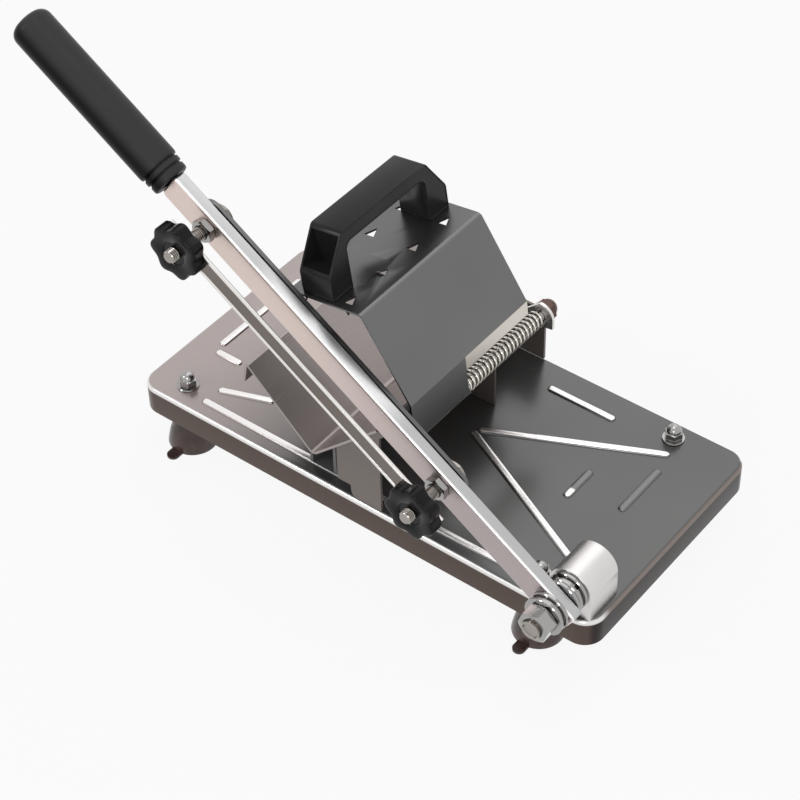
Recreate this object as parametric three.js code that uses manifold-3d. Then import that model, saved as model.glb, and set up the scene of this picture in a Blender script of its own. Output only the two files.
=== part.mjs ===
// Hand-lever slicer for the table top: a sheet-steel tray on four suction feet carries a V-shaped
// feed trough and a hinged hold-down cover with gripping teeth. A long lever with a knife swings
// past the mouth of the trough, and a stop rail held on two threaded studs sets the slice thickness.
// Millimetres, +Z up. Pieces are placed from the tray's front left corner (x right, y back, z above
// the deck), and the finished group is moved so that the origin is under the middle of the whole, on
// the table.
import * as THREE from "three";
import { mergeVertices } from "three/addons/utils/BufferGeometryUtils.js";
import Module from "manifold-3d";

// Clearances
const seatGap = 0.2; // between stacked or resting faces
const sheetGap = 0.3; // between a sheet and the sheet that it stands against
const holeGap = 0.3; // round a shaft, on the radius
const rideGap = 0.4; // end play of the pieces that slide or turn
const over = 1; // how far a cutting solid runs past what it cuts

// Tray
const deckLength = 340;
const deckWidth = 168.5;
const deckSheet = 1.5;
const skirtDepth = 19.5;
const deckCorner = 13;
const deckEdge = 3;
const beadWidth = 7;
const beadHeight = 1.4;
const beadEdge = 0.9;

// Both ends of each bead, as x and y; a value below 0 counts from the right or the back edge
const beadRuns = [
  [46.5, 11.2, 164, 11.2],
  [174.5, 10.5, -71.5, 10.5],
  [20, 58.5, 20, -36],
  [24, 50, 39, 50],
  [48, 24.6, 78, 35.5],
  [-129.5, -21.5, -85.5, -21.5],
  [-142.2, 92, -42, -28],
  [-144.2, 87, -40, 37],
  [-38, 88, -38, 125],
  [-70, 78, -70, 100],
];

// Suction feet, each on a stud with a dome nut above the deck
const footInsetLeft = 27.5;
const footInsetRight = 46;
const footInsetFront = 16;
const footInsetBack = 13.5;
const cupRadius = 16;
const cupHeight = 44;
const cupNeckRadius = 8;
const cupNeckLength = 21;
const cupWall = 2.2;
const cupTab = 8;
const cupTabReach = 20; // from the cup's middle to the middle of the tab's round end
const cupBell = [[5, 0.66], [13, 0.88]]; // below the neck, and the share of the cup's radius
const cupRim = 1;
const footStudRadius = 3;
const footStudBelow = 8; // the stud's length inside the cup
const domeNutFlats = 10;
const domeNutHeight = 5;
const domeRadius = 4.6;
const footWasherRadius = 7;
const footWasherThickness = 1;

// Pivot bracket and the stack of washers on the pivot stud
const pivotInset = 18;
const pivotHeight = 18;
const bracketRadius = 14;
const bracketFront = 4;
const bracketDepth = 27;
const bracketEdge = 0.8;
const pivotStudRadius = 6;
const pivotStudInBracket = 22;
const pivotStudEnd = 2.6;
const washerRadius = 12.5;
const washerThickness = 2.25;
const springWasherRadius = 10.6;
const springWasherThickness = 2.4;
const springWasherSplit = 2.5;
const pivotNutFlats = 19;
const pivotNutHeight = 10;
const nutFaceShare = 0.96; // a nut's round face as a share of its width across the flats

// Lever, measured along it from the pivot
const leverRise = 33.42; // degrees above the deck in the resting pose
const leverThickness = 8.5;
const leverHeight = 18.4;
const leverEdge = 1.3;
const leverCorner = 3;
const leverTail = 13;
const studNear = 91.5;
const studFar = 282.5;
const gripStart = 315;
const gripLength = 120;
const gripRadius = 12.75;
const gripTangRadius = 5;
const gripTangLength = 80;
const collarLength = 9;
const collarRadius = 11.4;
const ringGroove = 1.6;

// Knife behind the lever
const bladeThickness = 2.5;
const bladeAbove = 9.4;
const bladeBelow = 24;
const bladeEndReach = 3.5; // past each stud, to the middle of the rounded top corner
const bladeBevel = 7;
const bladeEdgeThickness = 0.3;
const bladeHeelDrop = 4; // below the studs, where the heel starts
const bladeHeelRun = 8;

// Studs, stop rail and star knobs
const studRadius = 4;
const studHeadFlats = 15;
const studHeadThickness = 3;
const studLength = 44.65;
const studTip = 0.8;
const jamNutFlats = 13;
const jamNutHeight = 4.5;
const railStandoff = 16.25; // from the lever's front face to the rail's back
const railSheet = 1.4;
const railDepth = 2;
const railHeight = 13;
const railDrop = 0.3; // the rail's centre line below the studs
const railOverhang = 14.5;
const railHem = 2.2;
const sleeveRadius = 5;
const sleeveFlangeRadius = 7.2;
const sleeveFlangeThickness = 2.5;
const knobRadius = 17;
const knobThickness = 9.4;
const knobLobes = 7;
const knobLobeDepth = 2.4;
const knobEdge = 1.2;
const knobSocketDepth = 3;
const knobRecessRadius = 7.5;
const knobRecessDepth = 1.2;

// Feed trough: a V whose walls rise at about 45 degrees
const troughMiddle = 141.3;
const troughFloor = 20.7;
const troughHalfWidth = 48.3;
const troughTop = 67;
const troughSheet = 1.5;
const troughLength = 166;
const troughRimRadius = 2;
const troughFloorRadius = 3;
const troughLipDrop = 16;
const troughLipLean = 2.9;
const troughNotchFront = 143.5;
const troughNotchTop = 45;

// Legs and plates that hold the trough
const plateSheet = 1.8;
const plateRight = 190.6;
const frontPlateFront = 1.5;
const frontFootLeft = 171;
const frontStepLeft = 158.5;
const frontStepHeight = 9;
const frontFootRadius = 3;
const frontGusset = 10;
const rearPlateCorner = 4;
const middlePlateFront = 113.8;
const rearPlateFront = 166.4;
const rearPlateTop = 40;
const legFront = 8.5;
const legLength = 92;
const legSheet = 2;
const legWidth = 19.9;
const legOffset = -9.7; // the leg's left face from the middle of the trough

// Hinge rod and its two lugs
const hingeX = 213;
const hingeZ = 75.5;
const rodRadius = 4;
const rodHeadRadius = 5.4;
const rodHeadThickness = 0.9;
const frontLugRadius = 6;
const rearLugRadius = 9.5;
const rearLugBelow = 6; // below the rod's middle
const rearLugFront = 127;
const rearLugSheet = 2;
const rearLugFoot = 14;
const domeCapFlats = 13;
const domeCapHeight = 6;
const domeCapRadius = 6;

// Hold-down cover: one sheet from its free edge over the ridge to the rolled knuckle
const coverFront = 0;
const coverLength = 110;
const coverSheet = 1.2;
const coverFreeX = 131;
const coverFreeZ = 142.3;
const ridgeX = 182.1;
const ridgeZ = 149.6;
const ridgeRadius = 6;
const creaseX = hingeX + 2.5;
const creaseZ = hingeZ + 24.9;
const creaseRadius = 3;
const windowDrop = 9.2; // the spring's window below the crease
const knuckleLength = 46.4;
const knuckleTurn = 265; // degrees that the sheet wraps round the rod
const lugNotchHeight = 9;
const toothPitch = 28.5;
const toothFirst = 5.2;
const toothCount = 4;
const toothBase = 7.1;
const toothLength = 8;
const toothRows = [7.4, 37.8]; // from the free edge, along the top

// Cover handle, on the sloping top
const handleCentre = 20; // from the free edge, along the top
const handleWidth = 22;
const handleFront = 2.2;
const handleLength = 105;
const handleShoulder = 15;
const handleHeight = 37.6;
const handleSlope = 15;
const handleLeg = 17;
const handleGapHeight = 28.8;
const handleGapRadius = 5;
const handleEdge = 1.2;
const pocketWidth = 15;
const pocketWall = 2.8;
const pocketRise = 1; // the pocket's floor above the shoulder
const pocketTopWall = 1.5;
const handleScrewRadius = 2;
const handleScrewHead = 4;
const handleScrewHeadThickness = 2;
const handleScrewLength = 12;
const handleScrewInset = 9;

// Cover spring and the seat washer in front of it
const springWire = 1.2;
const springTurns = 21;
const springSteps = 8;
const springSides = 5;
const springLead = 1.9; // each end's length before the turns, in wire diameters
const springSeatThickness = 1.2;
const springSeatRadius = 5.9;

// Worked out from the sizes above
const pivotX = deckLength - pivotInset;
const washerKinds = { washer: washerThickness, spring_washer: springWasherThickness };
const innerStack = ["washer", "spring_washer", "washer", "washer"];
const outerStack = ["washer", "spring_washer", "washer"];
const stackLength = (stack) => stack.reduce((sum, kind) => sum + washerKinds[kind] + seatGap, 0);
const leverBack = bracketFront - stackLength(innerStack) - seatGap;
const leverFront = leverBack - leverThickness;
const pivotNutBack = leverFront - stackLength(outerStack) - seatGap;
const pivotStudTip = pivotNutBack - pivotNutHeight - pivotStudEnd;

const wasm = await Module();
wasm.setup();

const finish = (color, roughness, metalness) =>
  new THREE.MeshStandardMaterial({ color, roughness, metalness });
const mirrorSteel = finish(0x8f8c8a, 0.12, 1);
const sheetSteel = finish(0x9a9492, 0.22, 1);
const satinAluminium = finish(0xd7cbc3, 0.35, 1);
const brightZinc = finish(0xd9d9d6, 0.18, 1);
const knifeSteel = finish(0x6f6f70, 0.25, 1);
const springSteel = finish(0xcfc7b8, 0.25, 1);
const blackPlastic = finish(0x1d1d1e, 0.45, 0);
const brownRubber = finish(0x4a3734, 0.3, 0);

// A closed geometry as a solid that can be joined and cut.
function toSolid(geometry) {
  const bare = new THREE.BufferGeometry();
  bare.setAttribute("position", geometry.getAttribute("position"));
  bare.setIndex(geometry.index);
  const merged = mergeVertices(bare, 1e-4);
  return new wasm.Manifold(
    new wasm.Mesh({
      numProp: 3,
      vertProperties: merged.getAttribute("position").array,
      triVerts: new Uint32Array(merged.index.array),
    }),
  );
}

function toGeometry(solid) {
  const { vertProperties, triVerts } = solid.getMesh();
  const geometry = new THREE.BufferGeometry();
  geometry.setAttribute("position", new THREE.BufferAttribute(vertProperties, 3));
  geometry.setIndex(new THREE.BufferAttribute(triVerts, 1));
  return geometry;
}

function add(group, name, solid, material) {
  const mesh = new THREE.Mesh(toGeometry(solid), material);
  mesh.name = name;
  group.add(mesh);
  return mesh;
}

const joined = (solids) => solids.reduce((sum, solid) => sum.add(solid));
const moved = (solid, x, y, z) => solid.translate([x, y, z]);

// A closed profile of [radius, height] pairs turned about Z.
function turned(profile, segments = 20) {
  const points = profile.map(([r, h]) => new THREE.Vector2(r, h));
  if (THREE.ShapeUtils.area(points) < 0) points.reverse();
  if (points[0].x > 0 || points.at(-1).x > 0) points.push(points[0].clone());
  return toSolid(new THREE.LatheGeometry(points, segments).rotateX(Math.PI / 2));
}

const disc = (radius, height, segments) =>
  turned([[0, 0], [radius, 0], [radius, height], [0, height]], segments);

const ring = (inner, outer, height, segments) =>
  turned([[inner, 0], [outer, 0], [outer, height], [inner, height]], segments);

// Turns a solid made along Z so that its foot faces the back and it reaches to the front from y.
const facingFront = (solid, x, y, z) => solid.rotate([90, 0, 0]).translate([x, y, z]);

function outline(points) {
  return new THREE.Shape(points.map(([x, y]) => new THREE.Vector2(x, y)));
}

// An outline extruded to a thickness, with both rims rounded by the edge radius.
function extrusion(shape, thickness, edge, edgeSegments, curveSegments) {
  return new THREE.ExtrudeGeometry(shape, {
    depth: thickness - 2 * edge,
    bevelEnabled: edge > 0,
    bevelSize: edge,
    bevelThickness: edge,
    bevelOffset: -edge,
    bevelSegments: edgeSegments,
    curveSegments,
  });
}

// An outline in x and z as a plate from y = front to y = back.
function uprightPlate(shape, front, back, edge = 0, edgeSegments = 2, curveSegments = 3) {
  const geometry = extrusion(shape, back - front, edge, edgeSegments, curveSegments);
  return toSolid(geometry.rotateX(Math.PI / 2).translate(0, back - edge, 0));
}

// An outline in x and y as a slab from z = bottom to z = top.
function slab(shape, bottom, top, edge = 0, edgeSegments = 2, curveSegments = 3) {
  const geometry = extrusion(shape, top - bottom, edge, edgeSegments, curveSegments);
  return toSolid(geometry.translate(0, 0, bottom + edge));
}

function roundedRectangle(x0, y0, x1, y1, radius) {
  const shape = new THREE.Shape();
  shape.moveTo(x0 + radius, y0);
  shape.lineTo(x1 - radius, y0);
  shape.absarc(x1 - radius, y0 + radius, radius, -Math.PI / 2, 0);
  shape.lineTo(x1, y1 - radius);
  shape.absarc(x1 - radius, y1 - radius, radius, 0, Math.PI / 2);
  shape.lineTo(x0 + radius, y1);
  shape.absarc(x0 + radius, y1 - radius, radius, Math.PI / 2, Math.PI);
  shape.lineTo(x0, y0 + radius);
  shape.absarc(x0 + radius, y0 + radius, radius, Math.PI, 1.5 * Math.PI);
  return shape;
}

// A straight bead with round ends between two points of the deck.
function beadShape([x0, y0, x1, y1], width) {
  const angle = Math.atan2(y1 - y0, x1 - x0);
  const shape = new THREE.Shape();
  shape.absarc(x1, y1, width / 2, angle - Math.PI / 2, angle + Math.PI / 2);
  shape.absarc(x0, y0, width / 2, angle + Math.PI / 2, angle + 1.5 * Math.PI);
  return shape;
}

// A hexagon nut along Z with chamfered corners; a bore of 0 leaves it solid.
function hexNut(flats, height, bore) {
  const corner = flats / 2 / Math.cos(Math.PI / 6);
  const face = (flats / 2) * nutFaceShare;
  const chamfer = (corner - face) * Math.tan(Math.PI / 6);
  const bulk = turned([
    [0, 0],
    [face, 0],
    [corner, chamfer],
    [corner, height - chamfer],
    [face, height],
    [0, height],
  ], 18);
  const nut = slab(polarOutline(() => corner, 6), 0, height).intersect(bulk);
  if (bore <= 0) return nut;
  return nut.subtract(moved(disc(bore, height + 2 * over, 16), 0, 0, -over));
}

// A hexagon nut closed by a dome; its thread is open from below to the depth of the hexagon.
function domeNut(flats, hexHeight, dome, bore) {
  const steps = 4;
  const cap = [[0, hexHeight / 2], [dome, hexHeight / 2]];
  for (let i = 0; i <= steps; i++) {
    const a = (i * Math.PI) / 2 / steps;
    cap.push([dome * Math.cos(a), hexHeight + dome * Math.sin(a)]);
  }
  cap[cap.length - 1][0] = 0;
  const body = hexNut(flats, hexHeight, 0).add(turned(cap, 16));
  return body.subtract(moved(disc(bore, hexHeight + over, 16), 0, 0, -over));
}

// The points of an open path with the given corner rounded, from its points and their radii.
function roundedPath(points, radii, steps = 5) {
  const path = [points[0]];
  for (let i = 1; i < points.length - 1; i++) {
    const corner = new THREE.Vector2(...points[i]);
    const before = new THREE.Vector2(...points[i - 1]).sub(corner).normalize();
    const after = new THREE.Vector2(...points[i + 1]).sub(corner).normalize();
    const half = Math.acos(THREE.MathUtils.clamp(before.dot(after), -1, 1)) / 2;
    const reach = radii[i] / Math.tan(half);
    const centre = corner.clone().add(
      before.clone().add(after).normalize().multiplyScalar(radii[i] / Math.sin(half)),
    );
    const start = corner.clone().addScaledVector(before, reach).sub(centre);
    const end = corner.clone().addScaledVector(after, reach).sub(centre);
    let sweep = end.angle() - start.angle();
    if (sweep > Math.PI) sweep -= 2 * Math.PI;
    if (sweep < -Math.PI) sweep += 2 * Math.PI;
    for (let k = 0; k <= steps; k++) {
      const spoke = start.clone().rotateAround(new THREE.Vector2(), (sweep * k) / steps);
      path.push([centre.x + spoke.x, centre.y + spoke.y]);
    }
  }
  path.push(points.at(-1));
  return path;
}

// A sheet of even thickness along an open path; side is +1 for its left, -1 for its right.
function sheetAlong(path, thickness, side) {
  const points = path.map((p) => new THREE.Vector2(...p));
  const normals = points.slice(1).map((p, i) => {
    const d = p.clone().sub(points[i]).normalize();
    return new THREE.Vector2(-d.y, d.x).multiplyScalar(side);
  });
  const offset = points.map((p, i) => {
    const a = normals[Math.max(i - 1, 0)];
    const b = normals[Math.min(i, normals.length - 1)];
    const bisector = a.clone().add(b).normalize();
    return p.clone().addScaledVector(bisector, thickness / bisector.dot(a));
  });
  return new THREE.Shape([...points, ...offset.reverse()]);
}

// A smooth closed polygon about the origin whose radius is a function of the angle.
function polarOutline(radiusAt, count) {
  const points = [];
  for (let i = 0; i < count; i++) {
    const a = (i * 2 * Math.PI) / count;
    points.push([radiusAt(a) * Math.cos(a), radiusAt(a) * Math.sin(a)]);
  }
  return outline(points);
}

const slicer = new THREE.Group();

const beadRoutes = beadRuns.map((run) =>
  run.map((v, i) => (v < 0 ? v + (i % 2 === 0 ? deckLength : deckWidth) : v)));
const beads = (width, bottom, top, edge) =>
  joined(beadRoutes.map((route) => slab(beadShape(route, width), bottom, top, edge, 1)));

const footX = [footInsetLeft, deckLength - footInsetRight];
const footY = [footInsetFront, deckWidth - footInsetBack];
const footSpots = [
  ["front_left", footX[0], footY[0], -1],
  ["front_right", footX[1], footY[0], -1],
  ["back_left", footX[0], footY[1], 1],
  ["back_right", footX[1], footY[1], 1],
];

function makeTray() {
  const deckShape = roundedRectangle(0, 0, deckLength, deckWidth, deckCorner);
  const hollowShape = roundedRectangle(
    deckSheet, deckSheet, deckLength - deckSheet, deckWidth - deckSheet, deckCorner - deckSheet,
  );
  const below = skirtDepth + 2 * deckEdge;
  const shell = slab(deckShape, -below, 0, deckEdge, 3)
    .subtract(slab(hollowShape, -below - deckEdge, -deckSheet, deckEdge - deckSheet, 1));
  const wide = roundedRectangle(-over, -over, deckLength + over, deckWidth + over, over);
  const cutter = slab(wide, -below - 2 * deckEdge, -skirtDepth);
  const embossed = shell
    .subtract(cutter)
    .add(beads(beadWidth, -deckSheet / 2, beadHeight, beadEdge))
    .subtract(beads(beadWidth - 2 * deckSheet, -2 * deckSheet, beadHeight - deckSheet, 0));
  const holes = footSpots.map(([, x, y]) =>
    moved(disc(footStudRadius + holeGap, 3 * deckSheet, 16), x, y, -2 * deckSheet));
  return embossed.subtract(joined(holes));
}

// A bell with a hollow foot and a pull tab at its rim, hung under the deck
function makeCup(tabSide) {
  const rim = -deckSheet - seatGap - cupHeight;
  const neck = -deckSheet - seatGap - cupNeckLength;
  const bell = cupBell.map(([drop, share]) => [cupRadius * share, neck - drop]);
  const inside = bell.map(([r, z]) => [r - cupWall, z - cupWall]).reverse();
  const profile = [
    [0, -deckSheet - seatGap],
    [cupNeckRadius, -deckSheet - seatGap],
    [cupNeckRadius, neck],
    ...bell,
    [cupRadius, rim + cupRim],
    [cupRadius, rim],
    [cupRadius - cupWall, rim],
    ...inside,
    [0, inside.at(-1)[1]],
  ];
  const tab = beadShape([0, 0, 0, tabSide * cupTabReach], cupTab);
  const hollow = disc(cupRadius - cupWall / 2, 2 * cupWall);
  const socketBottom = -deckSheet - seatGap - footStudBelow - over;
  return turned(profile)
    .add(slab(tab, rim, rim + cupRim).subtract(moved(hollow, 0, 0, rim - over)))
    .subtract(moved(disc(footStudRadius + holeGap, footStudBelow + 2 * over, 16), 0, 0, socketBottom));
}

function makeBracket() {
  const shape = new THREE.Shape();
  shape.moveTo(pivotX - bracketRadius, seatGap);
  shape.lineTo(pivotX + bracketRadius, seatGap);
  shape.lineTo(pivotX + bracketRadius, pivotHeight);
  shape.absarc(pivotX, pivotHeight, bracketRadius, 0, Math.PI);
  shape.lineTo(pivotX - bracketRadius, seatGap);
  const bore = disc(pivotStudRadius + holeGap, pivotStudInBracket + over, 20);
  return uprightPlate(shape, bracketFront, bracketFront + bracketDepth, bracketEdge, 1, 8)
    .subtract(facingFront(bore, pivotX, bracketFront + pivotStudInBracket, pivotHeight));
}

// A washer cut through at one side, with its ends a little apart
function splitWasher() {
  const cut = slab(outline([
    [0, -springWasherSplit / 2],
    [springWasherRadius + over, -springWasherSplit / 2],
    [springWasherRadius + over, springWasherSplit / 2],
    [0, springWasherSplit / 2],
  ]), -over, springWasherThickness + over);
  return ring(pivotStudRadius + holeGap, springWasherRadius, springWasherThickness).subtract(cut);
}

// Washers stacked along the pivot stud from y towards the front
function addWasherStack(group, stack, from, prefix) {
  let y = from;
  stack.forEach((kind, i) => {
    const solid = kind === "washer"
      ? ring(pivotStudRadius + holeGap, washerRadius, washerThickness)
      : splitWasher();
    y -= seatGap;
    add(group, `${prefix}_${kind}_${i + 1}`, facingFront(solid, pivotX, y, pivotHeight), brightZinc);
    y -= washerKinds[kind];
  });
}

// The trough's inner surface from the lip over both walls, in x and z
const troughWallRun = troughTop - troughFloor;
const troughLeft = troughMiddle - troughHalfWidth;
const troughRight = troughMiddle + troughHalfWidth;
function troughShape() {
  const path = roundedPath(
    [
      [troughLeft - troughLipLean, troughTop - troughLipDrop],
      [troughLeft, troughTop],
      [troughMiddle, troughFloor],
      [troughRight, troughTop],
    ],
    [0, troughRimRadius, troughFloorRadius, 0],
    3,
  );
  return sheetAlong(path, troughSheet, -1);
}

function makeTrough() {
  const notch = slab(
    outline([
      [troughMiddle, troughNotchFront],
      [besideTrough, troughNotchFront],
      [besideTrough, troughLength + over],
      [troughMiddle, troughLength + over],
    ]),
    troughNotchTop,
    troughTop + over,
  );
  return uprightPlate(troughShape(), 0, troughLength).subtract(notch);
}

// Height of the trough's outer surface at x, with the sheet gap taken off
const troughSlope = troughWallRun / troughHalfWidth;
function underTrough(x) {
  const drop = (troughSheet + sheetGap) * Math.hypot(1, troughSlope);
  return troughFloor + Math.abs(x - troughMiddle) * troughSlope - drop;
}

// The x just right of the upper end of the trough's right wall
const besideTrough = troughRight + (troughSheet * troughSlope) / Math.hypot(1, troughSlope) + sheetGap;

// The front plate stands under the right wall and ends in the lug that holds the rod
function makeFrontPlate() {
  const lugTop = hingeZ + frontLugRadius;
  const lugFoot = hingeZ - frontLugRadius;
  const shape = new THREE.Shape();
  shape.moveTo(frontFootLeft, seatGap);
  shape.lineTo(plateRight, seatGap);
  shape.lineTo(plateRight, lugFoot - frontGusset);
  shape.lineTo(plateRight + frontGusset, lugFoot);
  shape.lineTo(hingeX, lugFoot);
  shape.absarc(hingeX, hingeZ, frontLugRadius, -Math.PI / 2, Math.PI / 2);
  shape.lineTo(besideTrough, lugTop);
  shape.lineTo(besideTrough, underTrough(besideTrough));
  shape.lineTo(frontStepLeft, underTrough(frontStepLeft));
  shape.lineTo(frontStepLeft, frontStepHeight);
  shape.lineTo(frontFootLeft - frontFootRadius, frontStepHeight);
  shape.quadraticCurveTo(frontFootLeft - frontFootRadius, seatGap, frontFootLeft, seatGap);
  const bore = disc(rodRadius + holeGap, plateSheet + 2 * over, 20);
  return uprightPlate(shape, frontPlateFront, frontPlateFront + plateSheet, 0, 0, 6)
    .subtract(facingFront(bore, hingeX, frontPlateFront + plateSheet + over, hingeZ));
}

const plateLeft = troughLeft + 2 * troughSheet;
function makeMiddlePlate() {
  const rightShoulder = troughRight - troughSheet;
  const shape = outline([
    [plateLeft, seatGap],
    [plateRight, seatGap],
    [plateRight, underTrough(rightShoulder)],
    [rightShoulder, underTrough(rightShoulder)],
    [troughMiddle, underTrough(troughMiddle)],
    [plateLeft, underTrough(plateLeft)],
  ]);
  return uprightPlate(shape, middlePlateFront, middlePlateFront + plateSheet);
}

function makeRearPlate() {
  const left = plateLeft;
  const shape = new THREE.Shape();
  const corner = rearPlateCorner;
  shape.moveTo(left, seatGap);
  shape.lineTo(plateRight, seatGap);
  shape.lineTo(plateRight, rearPlateTop - corner);
  shape.absarc(plateRight - corner, rearPlateTop - corner, corner, 0, Math.PI / 2);
  shape.lineTo(left + corner, rearPlateTop);
  shape.absarc(left + corner, rearPlateTop - corner, corner, Math.PI / 2, Math.PI);
  return uprightPlate(shape, rearPlateFront, rearPlateFront + plateSheet);
}

// A channel with two upright walls under the trough, cut to its slope and over the beads
function makeLeg() {
  const left = troughMiddle + legOffset;
  const right = left + legWidth;
  const shape = outline([
    [left, seatGap],
    [right, seatGap],
    [right, underTrough(right)],
    [right - legSheet, underTrough(right - legSheet)],
    [right - legSheet, seatGap + legSheet],
    [left + legSheet, seatGap + legSheet],
    [left + legSheet, underTrough(left + legSheet)],
    [left, underTrough(left)],
  ]);
  const bend = beads(beadWidth + 2 * sheetGap, -over, beadHeight + sheetGap, 0);
  return uprightPlate(shape, legFront, legFront + legLength).subtract(bend);
}

// The rear lug: an upright plate on a foot that lies against the outside of the trough's wall
function makeRearLug() {
  const tilt = Math.atan(troughSlope);
  const along = [Math.cos(tilt), Math.sin(tilt)];
  const footTop = [besideTrough, underTrough(besideTrough)];
  const footEnd = footTop.map((v, i) => v - rearLugFoot * along[i]);
  const across = [along[1] * rearLugSheet, -along[0] * rearLugSheet];
  const shape = new THREE.Shape();
  shape.moveTo(...footTop);
  shape.lineTo(...footEnd);
  shape.lineTo(footEnd[0] + across[0], footEnd[1] + across[1]);
  shape.lineTo(footTop[0] + 3 * across[0], footTop[1] + across[1]);
  shape.lineTo(hingeX + rearLugRadius, hingeZ - rearLugBelow);
  shape.absarc(hingeX, hingeZ, rearLugRadius, 0, Math.PI / 2);
  const bore = disc(rodRadius + holeGap, rearLugSheet + 2 * over, 20);
  return uprightPlate(shape, rearLugFront, rearLugFront + rearLugSheet, 0, 0, 6)
    .subtract(facingFront(bore, hingeX, rearLugFront + rearLugSheet + over, hingeZ));
}

const domeCapFront = rearLugFront + rearLugSheet + seatGap;
const rodBack = domeCapFront + domeCapHeight - seatGap;
function makeRod() {
  const front = frontPlateFront - seatGap;
  const head = disc(rodHeadRadius, rodHeadThickness, 20);
  const shank = disc(rodRadius, rodBack - front + rodHeadThickness / 2, 20);
  return facingFront(shank, hingeX, rodBack, hingeZ)
    .add(facingFront(head, hingeX, front, hingeZ));
}

// The cover's section: free edge, sloping top, ridge, side wall, crease and the rolled knuckle
const knuckleInner = rodRadius + holeGap;
const knuckleOuter = knuckleInner + coverSheet;
const creaseAngle = Math.atan2(creaseZ - hingeZ, creaseX - hingeX);
const tangentAngle = creaseAngle -
  Math.acos(knuckleOuter / Math.hypot(creaseX - hingeX, creaseZ - hingeZ));
function coverPath() {
  const onKnuckle = (angle) => [
    hingeX + knuckleOuter * Math.cos(angle),
    hingeZ + knuckleOuter * Math.sin(angle),
  ];
  const path = roundedPath(
    [[coverFreeX, coverFreeZ], [ridgeX, ridgeZ], [creaseX, creaseZ], onKnuckle(tangentAngle)],
    [0, ridgeRadius, creaseRadius, 0],
    5,
  );
  const steps = 16;
  for (let i = 1; i <= steps; i++) {
    const turn = THREE.MathUtils.degToRad(knuckleTurn * i) / steps;
    path.push(onKnuckle(tangentAngle - turn));
  }
  return path;
}

const topSlope = Math.atan2(ridgeZ - coverFreeZ, ridgeX - coverFreeX);
const knuckleFront = frontPlateFront + plateSheet + rideGap;
const knuckleBack = knuckleFront + knuckleLength;

// Places a solid made on the z = 0 plane onto the cover's top, at a distance from the free edge.
function onCoverTop(solid, along, y) {
  return solid
    .rotate([0, -THREE.MathUtils.radToDeg(topSlope), 0])
    .translate([
      coverFreeX + along * Math.cos(topSlope),
      y,
      coverFreeZ + along * Math.sin(topSlope),
    ]);
}

// A lanced triangle: its slot, open behind the fold, and the tooth that hangs from the fold
function toothSlot() {
  const half = toothBase / 2;
  return slab(outline([[-half, 0], [half, 0], [0, toothLength]]), -2 * coverSheet, coverSheet);
}

function tooth() {
  const half = toothBase / 2;
  const shape = outline([
    [half, -coverSheet / 2],
    [0, -toothLength - coverSheet / 2],
    [-half, -coverSheet / 2],
  ]);
  return uprightPlate(shape, -coverSheet, 0);
}

const toothSpots = toothRows.flatMap((along) =>
  Array.from({ length: toothCount }, (_, i) => [along, toothFirst + i * toothPitch]));

function makeCover() {
  const back = coverFront + coverLength;
  const reach = 2 * knuckleOuter;
  const flangeBelow = (top) => outline([
    [hingeX - reach, hingeZ - reach],
    [creaseX + reach, hingeZ - reach],
    [creaseX + reach, top],
    [hingeX - reach, top],
  ]);
  const windowShape = flangeBelow(creaseZ - windowDrop);
  const notchShape = flangeBelow(hingeZ + lugNotchHeight);
  const screwHole = moved(disc(handleScrewRadius + holeGap, 4 * coverSheet, 12), 0, 0, -2 * coverSheet);
  const screwHoles = handleScrewSpots.map((y) => onCoverTop(screwHole, handleCentre, y));
  const teeth = toothSpots.map(([along, y]) => onCoverTop(tooth(), along, y));
  const slots = toothSpots.map(([along, y]) => onCoverTop(toothSlot(), along, y));
  return uprightPlate(sheetAlong(coverPath(), coverSheet, -1), coverFront, back)
    .subtract(joined(slots))
    .add(joined(teeth))
    .subtract(uprightPlate(windowShape, knuckleBack, back + over))
    .subtract(uprightPlate(notchShape, coverFront - over, knuckleFront))
    .subtract(joined(screwHoles));
}

const handleScrewSpots = [
  handleFront + handleScrewInset,
  handleFront + handleLength - handleScrewInset,
];

// The handle's side view in y and height, extruded across its width
function sidePiece(points, width, edge) {
  const solid = uprightPlate(points, -width / 2, width / 2, edge, 1);
  return solid.rotate([0, 0, 90]);
}

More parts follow.
